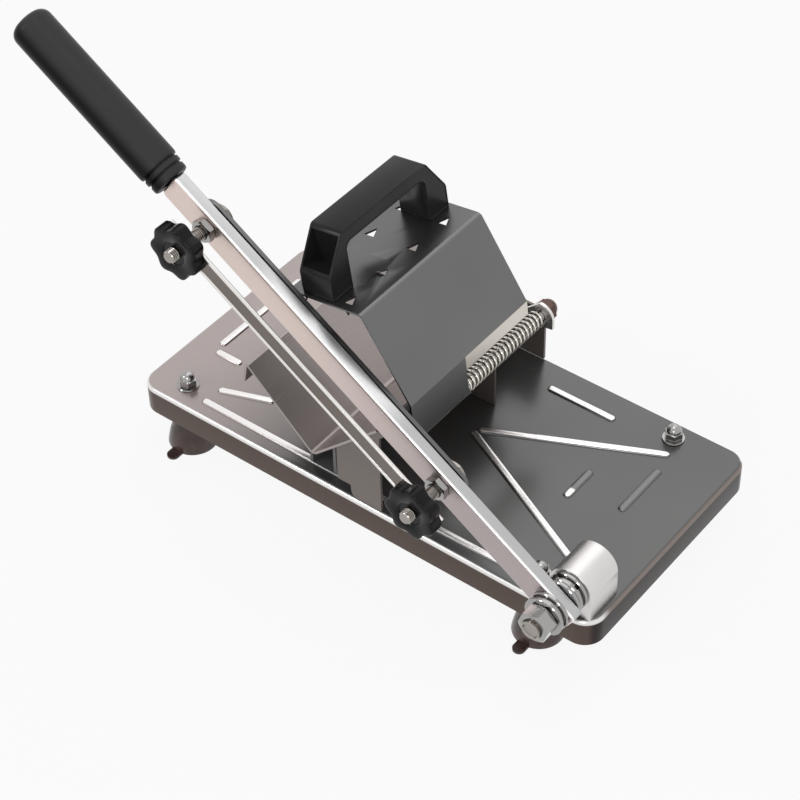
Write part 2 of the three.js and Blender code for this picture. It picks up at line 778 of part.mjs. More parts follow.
function makeHandle() {
  const back = handleFront + handleLength;
  const foot = seatGap;
  const arch = outline([
    [handleFront, foot],
    [back, foot],
    [back, handleShoulder],
    [back - handleSlope, handleHeight],
    [handleFront + handleSlope, handleHeight],
    [handleFront, handleShoulder],
  ]);
  const gapFront = handleFront + handleLeg;
  const gapBack = back - handleLeg;
  const gap = new THREE.Shape();
  gap.moveTo(gapFront, foot - over);
  gap.lineTo(gapBack, foot - over);
  gap.lineTo(gapBack, handleGapHeight - handleGapRadius);
  gap.absarc(gapBack - handleGapRadius, handleGapHeight - handleGapRadius, handleGapRadius, 0, Math.PI / 2);
  gap.lineTo(gapFront + handleGapRadius, handleGapHeight);
  gap.absarc(gapFront + handleGapRadius, handleGapHeight - handleGapRadius, handleGapRadius,
    Math.PI / 2, Math.PI);
  const pocketBack = gapFront - pocketWall;
  const pocketFloor = handleShoulder + pocketRise;
  const pocketTop = handleHeight - pocketTopWall;
  const pocket = (mirror) => {
    const at = (y) => (mirror ? handleFront + back - y : y);
    return outline([
      [at(handleFront - over), pocketFloor],
      [at(pocketBack), pocketFloor + pocketTopWall],
      [at(pocketBack), pocketTop],
      [at(handleFront - over), pocketTop],
    ]);
  };
  const holes = handleScrewSpots.map((y) =>
    moved(disc(handleScrewRadius + holeGap / 2, handleScrewLength + over, 12), 0, y, -over));
  return sidePiece(arch, handleWidth, handleEdge)
    .subtract(sidePiece(gap, handleWidth + 2 * over, 0))
    .subtract(sidePiece(pocket(false), pocketWidth, 0))
    .subtract(sidePiece(pocket(true), pocketWidth, 0))
    .subtract(joined(holes));
}

// A pan-head screw from inside the cover up into the foot of the handle
function makeHandleScrew() {
  const headTop = -coverSheet - seatGap;
  const head = disc(handleScrewHead, handleScrewHeadThickness, 16);
  const shankFoot = headTop - handleScrewHeadThickness / 2;
  const shank = disc(handleScrewRadius, handleScrewLength - over - shankFoot, 12);
  return moved(head, 0, 0, headTop - handleScrewHeadThickness).add(moved(shank, 0, 0, shankFoot));
}

// The wire's centre line: a straight end along the rod, the turns, and a straight end again
const springFront = knuckleBack + rideGap + springSeatThickness + sheetGap;
const springBack = rearLugFront - sheetGap;
const springMean = rodRadius + holeGap + springWire / 2;
function springCentres() {
  const rings = [];
  const lead = springWire * springLead;
  const length = springBack - springFront - 2 * lead;
  const steps = springTurns * springSteps;
  const place = (turn, y, slant) => {
    const a = turn * 2 * Math.PI;
    const radial = new THREE.Vector3(Math.cos(a), 0, Math.sin(a));
    const around = new THREE.Vector3(-Math.sin(a), 0, Math.cos(a));
    const tangent = around.clone().multiplyScalar(Math.cos(slant));
    tangent.y += Math.sin(slant);
    const centre = radial.clone().multiplyScalar(springMean);
    centre.y += y;
    rings.push({ centre, radial, tangent });
  };
  const helixSlant = Math.atan(length / springTurns / (2 * Math.PI * springMean));
  const bend = 1 / springSteps;
  place(-bend, springFront, Math.PI / 2);
  place(-bend, springFront + springWire, Math.PI / 2);
  place(-bend / 2, springFront + springWire * springLead * 0.85, Math.PI / 4);
  for (let i = 0; i <= steps; i++) {
    place(i / springSteps, springFront + lead + (length * i) / steps, helixSlant);
  }
  place(springTurns + bend / 2, springBack - springWire * springLead * 0.85, Math.PI / 4);
  place(springTurns + bend, springBack - springWire, Math.PI / 2);
  place(springTurns + bend, springBack, Math.PI / 2);
  return rings;
}

// One unbroken tube: a ring of points at each place on the centre line, closed at both ends
function makeSpring() {
  const rings = springCentres();
  const positions = [];
  rings.forEach(({ centre, radial, tangent }) => {
    const side = tangent.clone().cross(radial);
    for (let k = 0; k < springSides; k++) {
      const a = (k * 2 * Math.PI) / springSides;
      const p = centre.clone()
        .addScaledVector(radial, (Math.cos(a) * springWire) / 2)
        .addScaledVector(side, (Math.sin(a) * springWire) / 2);
      positions.push(p.x, p.y, p.z);
    }
  });
  const faces = [];
  for (let i = 0; i + 1 < rings.length; i++) {
    for (let k = 0; k < springSides; k++) {
      const a = i * springSides + k;
      const b = i * springSides + ((k + 1) % springSides);
      faces.push(a, b, a + springSides, b, b + springSides, a + springSides);
    }
  }
  const last = (rings.length - 1) * springSides;
  for (let k = 1; k + 1 < springSides; k++) {
    faces.push(0, k + 1, k, last, last + k, last + k + 1);
  }
  const geometry = new THREE.BufferGeometry();
  geometry.setAttribute("position", new THREE.Float32BufferAttribute(positions, 3));
  geometry.setIndex(faces);
  return moved(toSolid(geometry), hingeX, 0, hingeZ);
}

// The least gap between one turn of the wire and the next, on the rings' centres
function springSelfGap() {
  const centres = springCentres().map((r) => r.centre);
  let least = Infinity;
  for (let i = 0; i < centres.length; i++) {
    for (let j = i + springSteps - 2; j < centres.length; j++) {
      least = Math.min(least, centres[i].distanceTo(centres[j]) - springWire);
    }
  }
  return least;
}

// The lever and what rides on it, modelled level, pointing along -x from the pivot
function makeLeverBar() {
  const half = leverHeight / 2;
  const shape = roundedRectangle(-gripStart + rideGap, -half, leverTail, half, leverCorner);
  const bar = uprightPlate(shape, leverFront, leverBack, leverEdge, 2, 2);
  const tang = disc(gripTangRadius, gripTangLength + 2 * over, 20).rotate([0, -90, 0]);
  const bores = [0, studNear, studFar].map((s) => {
    const radius = s === 0 ? pivotStudRadius : studRadius;
    return facingFront(disc(radius + holeGap, leverThickness + 2 * over, 20), -s, leverBack + over, 0);
  });
  return bar
    .add(moved(tang, 2 * over - gripStart, leverMiddle, 0))
    .subtract(joined(bores));
}

const leverMiddle = (leverFront + leverBack) / 2;
function makeGrip() {
  const bore = gripTangRadius + holeGap;
  const end = gripRadius / 2;
  const lip = ringGroove / 4;
  const profile = [
    [bore, 0],
    [collarRadius - 2 * lip, 0],
    [collarRadius, 2 * lip],
    [collarRadius, collarLength / 2],
    [collarRadius - 3 * lip, collarLength / 2 + ringGroove / 2],
    [collarRadius + lip, collarLength / 2 + ringGroove],
    [collarRadius + lip, collarLength],
    [collarRadius - 2 * lip, collarLength + ringGroove / 2],
    [gripRadius - lip, collarLength + ringGroove],
    [gripRadius, collarLength + 3 * ringGroove],
    [gripRadius, gripLength - end],
  ];
  for (let i = 1; i <= 4; i++) {
    const a = (i * Math.PI) / 8;
    profile.push([gripRadius - end * (1 - Math.cos(a)), gripLength - end + end * Math.sin(a)]);
  }
  profile.push([0, gripLength], [0, gripTangLength + rideGap], [bore, gripTangLength + rideGap]);
  return moved(turned(profile, 28).rotate([0, -90, 0]), -gripStart, leverMiddle, 0);
}

// The knife: its back flush with the lever, rounded top corners and a bevelled edge below
function makeBlade() {
  const right = -studNear + bladeEndReach;
  const left = -studFar - bladeEndReach;
  const shape = new THREE.Shape();
  shape.moveTo(right, bladeAbove);
  shape.lineTo(left, bladeAbove);
  shape.absarc(left, 0, bladeAbove, Math.PI / 2, Math.PI);
  shape.lineTo(left - bladeAbove, -bladeHeelDrop);
  shape.lineTo(left - bladeAbove + bladeHeelRun, -bladeBelow);
  shape.lineTo(right + bladeAbove - bladeHeelRun, -bladeBelow);
  shape.lineTo(right + bladeAbove, -bladeHeelDrop);
  shape.absarc(right, 0, bladeAbove, 0, Math.PI / 2);
  const front = leverBack + seatGap;
  const back = front + bladeThickness;
  const wedge = outline([
    [front - over, -bladeBelow - over],
    [back - bladeEdgeThickness, -bladeBelow - over],
    [back - bladeEdgeThickness, -bladeBelow],
    [front, -bladeBelow + bladeBevel],
    [front - over, -bladeBelow + bladeBevel],
  ]);
  const wedgeEnd = right + bladeAbove + over;
  const wedgeLength = wedgeEnd - left + bladeAbove + over;
  const bevel = uprightPlate(wedge, 0, wedgeLength)
    .rotate([0, 0, 90])
    .translate([wedgeEnd, 0, 0]);
  const bores = [studNear, studFar].map((s) =>
    facingFront(disc(studRadius + holeGap, bladeThickness + 2 * over, 20), -s, back + over, 0));
  return uprightPlate(shape, front, back, 0, 0, 6).subtract(bevel).subtract(joined(bores));
}

const studSeat = leverBack + 2 * seatGap + bladeThickness;
function makeStud() {
  const corner = studHeadFlats / Math.sqrt(3);
  const head = slab(polarOutline(() => corner, 6), 0, studHeadThickness).rotate([0, 0, 90]);
  const shank = turned([
    [0, 0],
    [studRadius, 0],
    [studRadius, studLength - studTip],
    [studRadius - studTip, studLength],
    [0, studLength],
  ]);
  return facingFront(head, 0, studSeat + studHeadThickness, 0)
    .add(facingFront(shank, 0, studSeat + studHeadThickness / 2, 0));
}

const railBack = leverFront - railStandoff;
const railFront = railBack - railDepth;
function makeRail() {
  const left = -studFar - railOverhang;
  const right = -studNear + railOverhang;
  const low = -railDrop - railHeight / 2;
  const high = -railDrop + railHeight / 2;
  const bar = uprightPlate(roundedRectangle(left, low, right, high, railHem / 2), railFront, railBack,
    0, 0, 1);
  const pocket = outline([
    [left - over, low + railHem],
    [right + over, low + railHem],
    [right + over, high - railHem],
    [left - over, high - railHem],
  ]);
  const bores = [studNear, studFar].map((s) =>
    facingFront(disc(sleeveRadius + holeGap, railDepth + 2 * over, 20), -s, railBack + over, 0));
  return bar
    .subtract(uprightPlate(pocket, railFront - over, railBack - railSheet))
    .subtract(joined(bores));
}

const knobBack = railFront - seatGap;
const knobFront = knobBack - knobThickness;
function makeKnob() {
  const lobe = polarOutline(
    (a) => knobRadius - (knobLobeDepth * (1 - Math.cos(knobLobes * a))) / 2,
    knobLobes * 6,
  );
  const bore = disc(studRadius + holeGap, knobThickness + 2 * over, 20);
  const socket = disc(sleeveRadius + holeGap, knobSocketDepth + over, 20);
  const recess = disc(knobRecessRadius, knobRecessDepth + over, 20);
  return uprightPlate(lobe, knobFront, knobBack, knobEdge, 2)
    .subtract(facingFront(bore, 0, knobBack + over, 0))
    .subtract(facingFront(recess, 0, knobFront + knobRecessDepth, 0))
    .subtract(facingFront(socket, 0, knobBack + over, 0));
}

// A flanged sleeve through the rail: the rail is held between its flange and the knob
function makeSleeve() {
  const flangeBack = railBack + seatGap + sleeveFlangeThickness;
  const length = flangeBack - knobBack + knobSocketDepth - seatGap;
  const flange = ring(studRadius + holeGap, sleeveFlangeRadius, sleeveFlangeThickness, 20);
  const tube = ring(studRadius + holeGap, sleeveRadius, length, 20);
  return facingFront(flange.add(tube), 0, flangeBack, 0);
}

// Tray and feet
add(slicer, "base_plate", makeTray(), mirrorSteel);
footSpots.forEach(([spot, x, y, tabSide]) => {
  const washerTop = footWasherThickness + seatGap;
  const studTop = washerTop + seatGap + domeNutHeight;
  const studFoot = -deckSheet - seatGap - footStudBelow;
  const stud = moved(disc(footStudRadius, studTop - studFoot, 16), 0, 0, studFoot);
  const nut = domeNut(domeNutFlats, domeNutHeight, domeRadius, footStudRadius + holeGap / 2);
  add(slicer, "cup_" + spot, moved(makeCup(tabSide), x, y, 0), brownRubber);
  add(slicer, "cup_stud_" + spot, moved(stud, x, y, 0), brightZinc);
  add(
    slicer,
    "cup_washer_" + spot,
    moved(ring(footStudRadius + holeGap, footWasherRadius, footWasherThickness), x, y, seatGap),
    brightZinc,
  );
  add(slicer, "dome_nut_" + spot, moved(nut, x, y, washerTop + seatGap), brightZinc);
});

// Pivot
add(slicer, "pivot_bracket", makeBracket(), satinAluminium);
const pivotStudBack = bracketFront + pivotStudInBracket - seatGap;
const pivotStud = disc(pivotStudRadius, pivotStudBack - pivotStudTip, 24);
add(slicer, "pivot_stud", facingFront(pivotStud, pivotX, pivotStudBack, pivotHeight), brightZinc);
addWasherStack(slicer, innerStack, bracketFront, "inner");
addWasherStack(slicer, outerStack, leverFront, "outer");
const pivotNut = hexNut(pivotNutFlats, pivotNutHeight, pivotStudRadius + holeGap);
add(slicer, "pivot_nut", facingFront(pivotNut, pivotX, pivotNutBack, pivotHeight), brightZinc);

// Trough, its supports and the rod
add(slicer, "trough", makeTrough(), sheetSteel);
add(slicer, "trough_leg", makeLeg(), sheetSteel);
add(slicer, "front_plate", makeFrontPlate(), sheetSteel);
add(slicer, "middle_plate", makeMiddlePlate(), sheetSteel);
add(slicer, "rear_plate", makeRearPlate(), sheetSteel);
add(slicer, "rear_lug", makeRearLug(), sheetSteel);
add(slicer, "hinge_rod", makeRod(), brightZinc);
const domeCap = domeNut(domeCapFlats, domeCapHeight, domeCapRadius, rodRadius + holeGap / 2);
add(
  slicer,
  "rod_cap_nut",
  domeCap.rotate([-90, 0, 0]).translate([hingeX, domeCapFront, hingeZ]),
  brightZinc,
);

// Cover, its handle and its spring
add(slicer, "cover", makeCover(), sheetSteel);
add(slicer, "cover_handle", onCoverTop(makeHandle(), handleCentre, 0), blackPlastic);
handleScrewSpots.forEach((y, i) => {
  const name = "handle_screw_" + (i === 0 ? "front" : "rear");
  add(slicer, name, onCoverTop(makeHandleScrew(), handleCentre, y), brightZinc);
});
const springSeat = ring(rodRadius + holeGap, springSeatRadius, springSeatThickness, 20);
const springSeatBack = knuckleBack + rideGap + springSeatThickness;
add(slicer, "spring_seat", facingFront(springSeat, hingeX, springSeatBack, hingeZ), brightZinc);
add(slicer, "cover_spring", makeSpring(), springSteel);
console.log("least gap between the spring's turns:", springSelfGap().toFixed(2), "mm");

// Lever with its knife, studs, rail and knobs, tilted as one about the pivot
const lever = new THREE.Group();
lever.position.set(pivotX, 0, pivotHeight);
lever.rotation.y = THREE.MathUtils.degToRad(leverRise);
slicer.add(lever);
add(lever, "lever_bar", makeLeverBar(), satinAluminium);
add(lever, "grip", makeGrip(), blackPlastic);
add(lever, "blade", makeBlade(), knifeSteel);
add(lever, "guide_rail", makeRail(), sheetSteel);
[["near", studNear], ["far", studFar]].forEach(([end, s]) => {
  const jamNut = hexNut(jamNutFlats, jamNutHeight, studRadius + holeGap);
  const jam = facingFront(jamNut, 0, leverFront - seatGap, 0);
  const pieces = [
    ["stud_" + end, makeStud(), brightZinc],
    ["jam_nut_" + end, jam, brightZinc],
    ["knob_sleeve_" + end, makeSleeve(), brightZinc],
    ["knob_" + end, makeKnob(), blackPlastic],
  ];
  pieces.forEach(([name, solid, material]) => {
    add(lever, name, moved(solid, -s, 0, 0), material);
  });
});

slicer.updateMatrixWorld(true);
const extent = new THREE.Box3().setFromObject(slicer, true);
const middle = extent.getCenter(new THREE.Vector3());
slicer.position.set(-middle.x, -middle.y, -extent.min.z);

export default slicer;
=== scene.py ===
"""Hand-lever slicer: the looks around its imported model, in metres, +Z up.

Pieces are drawn in millimetres from the tray's front left corner, with the deck at height 0, and then
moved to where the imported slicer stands.
"""
import math

import bmesh
import bpy
from mathutils import Matrix, Vector


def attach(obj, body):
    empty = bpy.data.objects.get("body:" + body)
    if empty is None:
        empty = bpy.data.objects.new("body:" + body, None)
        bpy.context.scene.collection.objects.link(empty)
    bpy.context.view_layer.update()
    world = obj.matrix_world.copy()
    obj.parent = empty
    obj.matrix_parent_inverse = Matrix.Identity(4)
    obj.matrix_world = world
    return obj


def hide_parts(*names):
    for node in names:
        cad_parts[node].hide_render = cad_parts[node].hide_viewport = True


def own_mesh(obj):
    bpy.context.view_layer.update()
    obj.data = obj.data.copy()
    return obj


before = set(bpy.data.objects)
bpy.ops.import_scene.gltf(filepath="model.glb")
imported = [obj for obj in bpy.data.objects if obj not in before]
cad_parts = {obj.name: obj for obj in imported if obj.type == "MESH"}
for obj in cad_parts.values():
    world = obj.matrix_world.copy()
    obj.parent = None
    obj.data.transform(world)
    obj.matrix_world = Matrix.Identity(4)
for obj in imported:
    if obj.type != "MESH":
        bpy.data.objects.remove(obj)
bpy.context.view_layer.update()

# The view. A long lens stands about one and a half metres away, over the front right corner of the
# tray, and looks down on the slicer with a slight roll.
lens = bpy.data.cameras.new("lens")
lens.lens = 105.337
lens.sensor_width = 36
lens.clip_start = 0.05
viewer = bpy.data.objects.new("viewer", lens)
viewer.location = (0.64609, -0.79964, 1.03363)
viewer.rotation_euler = [math.radians(a) for a in (46.6068, 1.0278, 37.6301)]
bpy.context.scene.collection.objects.link(viewer)
bpy.context.scene.camera = viewer


# The tray is pressed from one polished stainless sheet: a flat deck with a rolled edge, a plain skirt
# and long shallow beads that stiffen it. Its grain runs along the deck.
class Wire:
    """A value, colour or vector on its way through a material."""

    def __init__(self, finish, socket):
        self.finish = finish
        self.socket = socket

    def maths(self, operation, first, second):
        return self.finish.node("Math", {"operation": operation}, {0: first, 1: second})

    def __add__(self, other):
        return self.maths("ADD", self, other)

    def __radd__(self, other):
        return self.maths("ADD", other, self)

    def __sub__(self, other):
        return self.maths("SUBTRACT", self, other)

    def __rsub__(self, other):
        return self.maths("SUBTRACT", other, self)

    def __mul__(self, other):
        return self.maths("MULTIPLY", self, other)

    def __rmul__(self, other):
        return self.maths("MULTIPLY", other, self)

    def between(self, low, high):
        """0 below low, 1 above high, smooth in between."""
        return self.finish.node("MapRange", {"interpolation_type": "SMOOTHSTEP"},
                                {"Value": self, "From Min": low, "From Max": high})


class Finish:
    """A material whose shader sockets take numbers, colours or wires."""

    def __init__(self, name, **settings):
        self.material = bpy.data.materials.new(name)
        self.material.use_nodes = True
        self.tree = self.material.node_tree
        self.shader = self.tree.nodes["Principled BSDF"]
        self.set(**settings)

    def node(self, kind, settings=None, inputs=None, output=0):
        made = self.tree.nodes.new("ShaderNode" + kind)
        for key, value in (settings or {}).items():
            if key == "stops":
                for stop, (position, colour) in zip(made.color_ramp.elements, value):
                    stop.position = position
                    stop.color = (*colour, 1)
            else:
                setattr(made, key, value)
        for key, value in (inputs or {}).items():
            self.plug(made.inputs[key], value)
        return Wire(self, made.outputs[output])

    def plug(self, socket, value):
        if isinstance(value, Wire):
            self.tree.links.new(value.socket, socket)
        elif isinstance(value, tuple) and len(socket.default_value) == 4:
            socket.default_value = (*value, 1)
        else:
            socket.default_value = value

    def set(self, **settings):
        for key, value in settings.items():
            self.plug(self.shader.inputs[key.replace("_", " ").title().replace("Ior", "IOR")], value)
        return self

    def place(self, scale=(1, 1, 1), turn=(0, 0, 0)):
        """The piece's own coordinates in metres, stretched and turned."""
        own = self.node("TexCoord", output="Object")
        return self.node("Mapping", {}, {"Vector": own, "Scale": scale, "Rotation": turn})

    def noise(self, scale, detail=3.0, stretch=(1, 1, 1), turn=(0, 0, 0), roughness=0.5):
        return self.node("TexNoise", {}, {"Vector": self.place(stretch, turn), "Scale": scale,
                                          "Detail": detail, "Roughness": roughness})

    def axis(self, name):
        return self.node("SeparateXYZ", {}, {0: self.node("TexCoord", output="Object")}, name)

    def blend(self, share, low, high):
        return self.node("Mix", {"data_type": "RGBA"}, {0: share, 6: low, 7: high}, 2)

    def bump(self, height, distance, strength=1.0):
        return self.node("Bump", {}, {"Height": height, "Distance": distance, "Strength": strength})


def polished(name, colour, tint, rough, grain=(1, 1, 1), turn=(0, 0, 0), metallic=1.0):
    """Polished sheet: faint clouds in its colour, and a fine rolled grain in its gloss."""
    finish = Finish(name, metallic=metallic)
    clouds = finish.noise(9, 2)
    streaks = finish.noise(700, 4, grain, turn, 0.7)
    marks = finish.noise(160, 5, grain, turn, 0.75)
    finish.set(
        base_color=finish.blend(clouds.between(0.3, 0.7), colour, tint),
        roughness=rough + 0.08 * streaks + 0.05 * clouds,
        normal=finish.bump(streaks + 0.6 * marks, 0.00001, 0.35),
    )
    return finish


def sheet_solid(bm, wall):
    """Gives an open skin its thickness, inwards from its faces."""
    bmesh.ops.recalc_face_normals(bm, faces=bm.faces)
    bmesh.ops.solidify(bm, geom=bm.faces, thickness=wall)


def piece(bm, name, body, finish, replaced=(), sharp=32, outward=True):
    """Moves a mesh drawn in millimetres to its place, gives it its finish and lets it ride."""
    bmesh.ops.transform(bm, verts=bm.verts, matrix=Matrix.Scale(0.001, 4)
                        @ Matrix.Translation((-147.2375, -66.3, 45.7)))
    if outward:
        bmesh.ops.recalc_face_normals(bm, faces=bm.faces)
    for face in bm.faces:
        face.smooth = face.calc_area() < 0.0003  # the big flat faces stay flat beside their rounded edges
    mesh = bpy.data.meshes.new(name)
    bm.to_mesh(mesh)
    bm.free()
    mesh.set_sharp_from_angle(angle=math.radians(sharp))
    mesh.materials.append(finish.material)
    made = bpy.data.objects.new(name, mesh)
    bpy.context.scene.collection.objects.link(made)
    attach(made, body)
    if replaced:
        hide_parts(*replaced)
    return made


def corner_face(bm, points, rounding=None, steps=10):
    """A flat face through the points, with the numbered corners rounded."""
    corners = [bm.verts.new(p) for p in points]
    face = bm.faces.new(corners)
    for i, radius in (rounding or {}).items():
        bmesh.ops.bevel(bm, geom=[corners[i]], offset=radius, offset_type="OFFSET", segments=steps,
                        profile=0.5, affect="VERTICES", material=-1)
    return bm.faces[:][0] if len(bm.faces) == 1 else face


def pulled(bm, face, vector, closed=True):
    """Extrudes a face and returns its far face; the first one closes the block behind, or is deleted."""
    made = bmesh.ops.extrude_face_region(bm, geom=[face])["geom"]
    if not closed:
        bmesh.ops.delete(bm, geom=[face], context="FACES_ONLY")
    bmesh.ops.translate(bm, verts=[v for v in made if isinstance(v, bmesh.types.BMVert)], vec=vector)
    return next(f for f in made if isinstance(f, bmesh.types.BMFace))


def bevel_edges(bm, edges, size, steps=3):
    bmesh.ops.bevel(bm, geom=list(edges), offset=size, offset_type="OFFSET", segments=steps,
                    profile=0.5, affect="EDGES", material=-1, clamp_overlap=True)


def deck_painted_sheen(finish):
    """Grey sheet at the right, lighter and warmer towards the left end: a painted reflection across the deck."""
    grey = Wire(finish, finish.shader.inputs["Base Color"].links[0].from_socket)
    return finish.blend((-1 * finish.axis("X")).between(-0.02, 0.14), grey, (0.46, 0.40, 0.39))


deck_steel = polished("deck_steel", (0.112, 0.112, 0.112), (0.124, 0.123, 0.122), 0.18, (0.04, 1, 1), metallic=0.65)
height = deck_steel.axis("Z")
# The rolled edge is painted a bright highlight. Along the right end, behind the front corner, it is painted dark as
# shade.
right_end_painted_shade = deck_steel.axis("X").between(0.1885, 0.19) * deck_steel.axis("Y").between(-0.056, -0.046)
rolled_edge_painted_light = deck_steel.blend(right_end_painted_shade, (0.86, 0.85, 0.84), (0.24, 0.2, 0.18))
edge_colour = deck_steel.blend(height.between(0.0448, 0.0455), rolled_edge_painted_light, deck_painted_sheen(deck_steel))
# The skirt is painted a dark brown reflection, and its right end face darker still as painted shade.
skirt = deck_steel.blend(deck_steel.axis("X").between(0.188, 0.1915), (0.09, 0.063, 0.051), (0.014, 0.009, 0.007))
deck_steel.set(base_color=deck_steel.blend(height.between(0.0422, 0.0432), skirt, edge_colour))
tray = bmesh.new()
rim = corner_face(tray, [(0, 0, -19.5), (340, 0, -19.5), (340, 168.5, -19.5), (0, 168.5, -19.5)],
                  {0: 13, 1: 13, 2: 13, 3: 13}, 12)
deck = pulled(tray, rim, (0, 0, 19.5), closed=False)
bevel_edges(tray, deck.edges, 3, 5)
sheet_solid(tray, 1.5)
piece(tray, "tray", "frame", deck_steel, ["base_plate"])

bead_runs = [(46.5, 11.2, 164, 11.2), (174.5, 10.5, 268.5, 10.5), (20, 58.5, 20, 132.5),
             (24, 50, 39, 50), (48, 24.6, 78, 35.5), (210.5, 147, 254.5, 147),
             (197.8, 92, 298, 140.5), (195.8, 87, 300, 37), (302, 88, 302, 125), (270, 78, 270, 100)]
beads = bmesh.new()
for x0, y0, x1, y1 in bead_runs:
    run = Vector((x1 - x0, y1 - y0, 0))
    ring = bmesh.ops.create_circle(beads, cap_ends=True, segments=24, radius=2.75,
                                   matrix=Matrix.Rotation(math.atan2(run.y, run.x) + math.pi / 24, 4, "Z"))
    bead = ring["verts"][0].link_faces[0]
    ahead = [v for v in ring["verts"] if v.co.dot(run) > 0]
    bmesh.ops.translate(beads, verts=ahead, vec=run)
    bmesh.ops.translate(beads, verts=ring["verts"], vec=(x0, y0, -0.3))
    bead = pulled(beads, bead, (0, 0, 0.3))
    if bead.normal.z < 0:
        bmesh.ops.reverse_faces(beads, faces=[bead])
    for inset, rise in [(0.12, 0.3), (0.25, 0.4), (0.4, 0.35), (0.5, 0.2), (0.5, 0.08)]:
        bmesh.ops.inset_individual(beads, faces=[bead], thickness=inset, depth=rise)
bead_steel = polished("bead_steel", (0.16, 0.16, 0.16), (0.174, 0.173, 0.172), 0.2, (0.04, 1, 1))
east = bead_steel.axis("X")
north = bead_steel.axis("Y")
# The crowns of the beads are painted a bright highlight, except in two patches at the right end, where the beads are
# left unlit.
unlit_short_pair = east.between(0.117, 0.119) * north.between(0.0155, 0.0175) * (1 - north.between(0.05, 0.052))
unlit_outer_bead = east.between(0.1485, 0.15) * north.between(0.0, 0.002) * (1 - north.between(0.063, 0.066))
crown = bead_steel.axis("Z").between(0.04655, 0.04685) * (1 - unlit_short_pair) * (1 - unlit_outer_bead)
bead_steel.set(base_color=bead_steel.blend(crown, deck_painted_sheen(bead_steel), (0.85, 0.83, 0.82)))
piece(beads, "deck_beads", "frame", bead_steel, sharp=50, outward=False)


# Four suction feet of clear brown rubber hang under the deck. Each has a stud moulded in, which comes
# up through the deck and is held by a plated washer and a dome nut.
def lathe(profile, steps=48, turn=2 * math.pi):
    """A profile of radius and height spun about Z."""
    bm = bmesh.new()
    chain = [bm.verts.new((r, 0, h)) for r, h in profile]
    edges = [bm.edges.new(pair) for pair in zip(chain, chain[1:])]
    whole = turn > 6.28
    bmesh.ops.spin(bm, geom=chain + edges, cent=(0, 0, 0), axis=(0, 0, 1), dvec=(0, 0, 0), angle=turn,
                   steps=steps, use_merge=whole, use_duplicate=False)
    bmesh.ops.remove_doubles(bm, verts=bm.verts, dist=0.001)
    return bm


def stand(bm, place, *turns):
    """Turns a mesh by degrees about the named axes, then moves it."""
    for angle, axis in turns:
        bmesh.ops.rotate(bm, verts=bm.verts, cent=(0, 0, 0), matrix=Matrix.Rotation(math.radians(angle), 3, axis))
    bmesh.ops.translate(bm, verts=bm.verts, vec=place)
    return bm


def arc(radius, start, end, steps, centre=(0, 0)):
    """Points of an arc in degrees, as pairs."""
    angles = [math.radians(start + (end - start) * i / steps) for i in range(steps + 1)]
    return [(centre[0] + radius * math.cos(a), centre[1] + radius * math.sin(a)) for a in angles]


def hex_nut(flats, height, bore, dome=0.0):
    """A turned blank whose sides are brought in to six flats, so that its chamfers leave arcs."""
    corner = flats / math.sqrt(3)
    face = 0.48 * flats
    chamfer = (corner - face) * math.tan(math.pi / 6)
    profile = [(bore, 0), (face, 0), (corner, chamfer), (corner, height - chamfer), (face, height)]
    if dome:
        profile += arc(dome, 0, 90, 8, (0, height))
    else:
        profile += [(bore + 0.5, height), (bore, height - 0.5), (bore, 0)] if bore else [(0, height)]
    bm = lathe(profile, 72)
    for v in bm.verts:
        radius = math.hypot(v.co.x, v.co.y)
        limit = flats / 2 / math.cos((math.atan2(v.co.y, v.co.x) % (math.pi / 3)) - math.pi / 6)
        if radius > limit and v.co.z <= height + 0.001:
            fall = chamfer * (corner - limit) / (corner - face)
            v.co.z += fall if v.co.z > height / 2 else -fall
            v.co.x *= limit / radius
            v.co.y *= limit / radius
    return bm


def washer(bore, radius, thickness, steps=48, turn=2 * math.pi):
    edge = min(0.35, thickness / 4)
    return lathe([(bore, 0), (radius - edge, 0), (radius, edge), (radius, thickness - edge),
                  (radius - edge, thickness), (bore, thickness), (bore, 0)], steps, turn)


def plated(name, colour, rough):
    """Bright plating: even, with a slight ripple and small duller spots."""
    finish = Finish(name, metallic=1.0, base_color=colour)
    ripple = finish.noise(350, 2)
    spots = finish.noise(900, 3, roughness=0.7)
    finish.set(roughness=rough + 0.15 * spots.between(0.5, 0.75), normal=finish.bump(ripple, 0.00002, 0.25))
    return finish


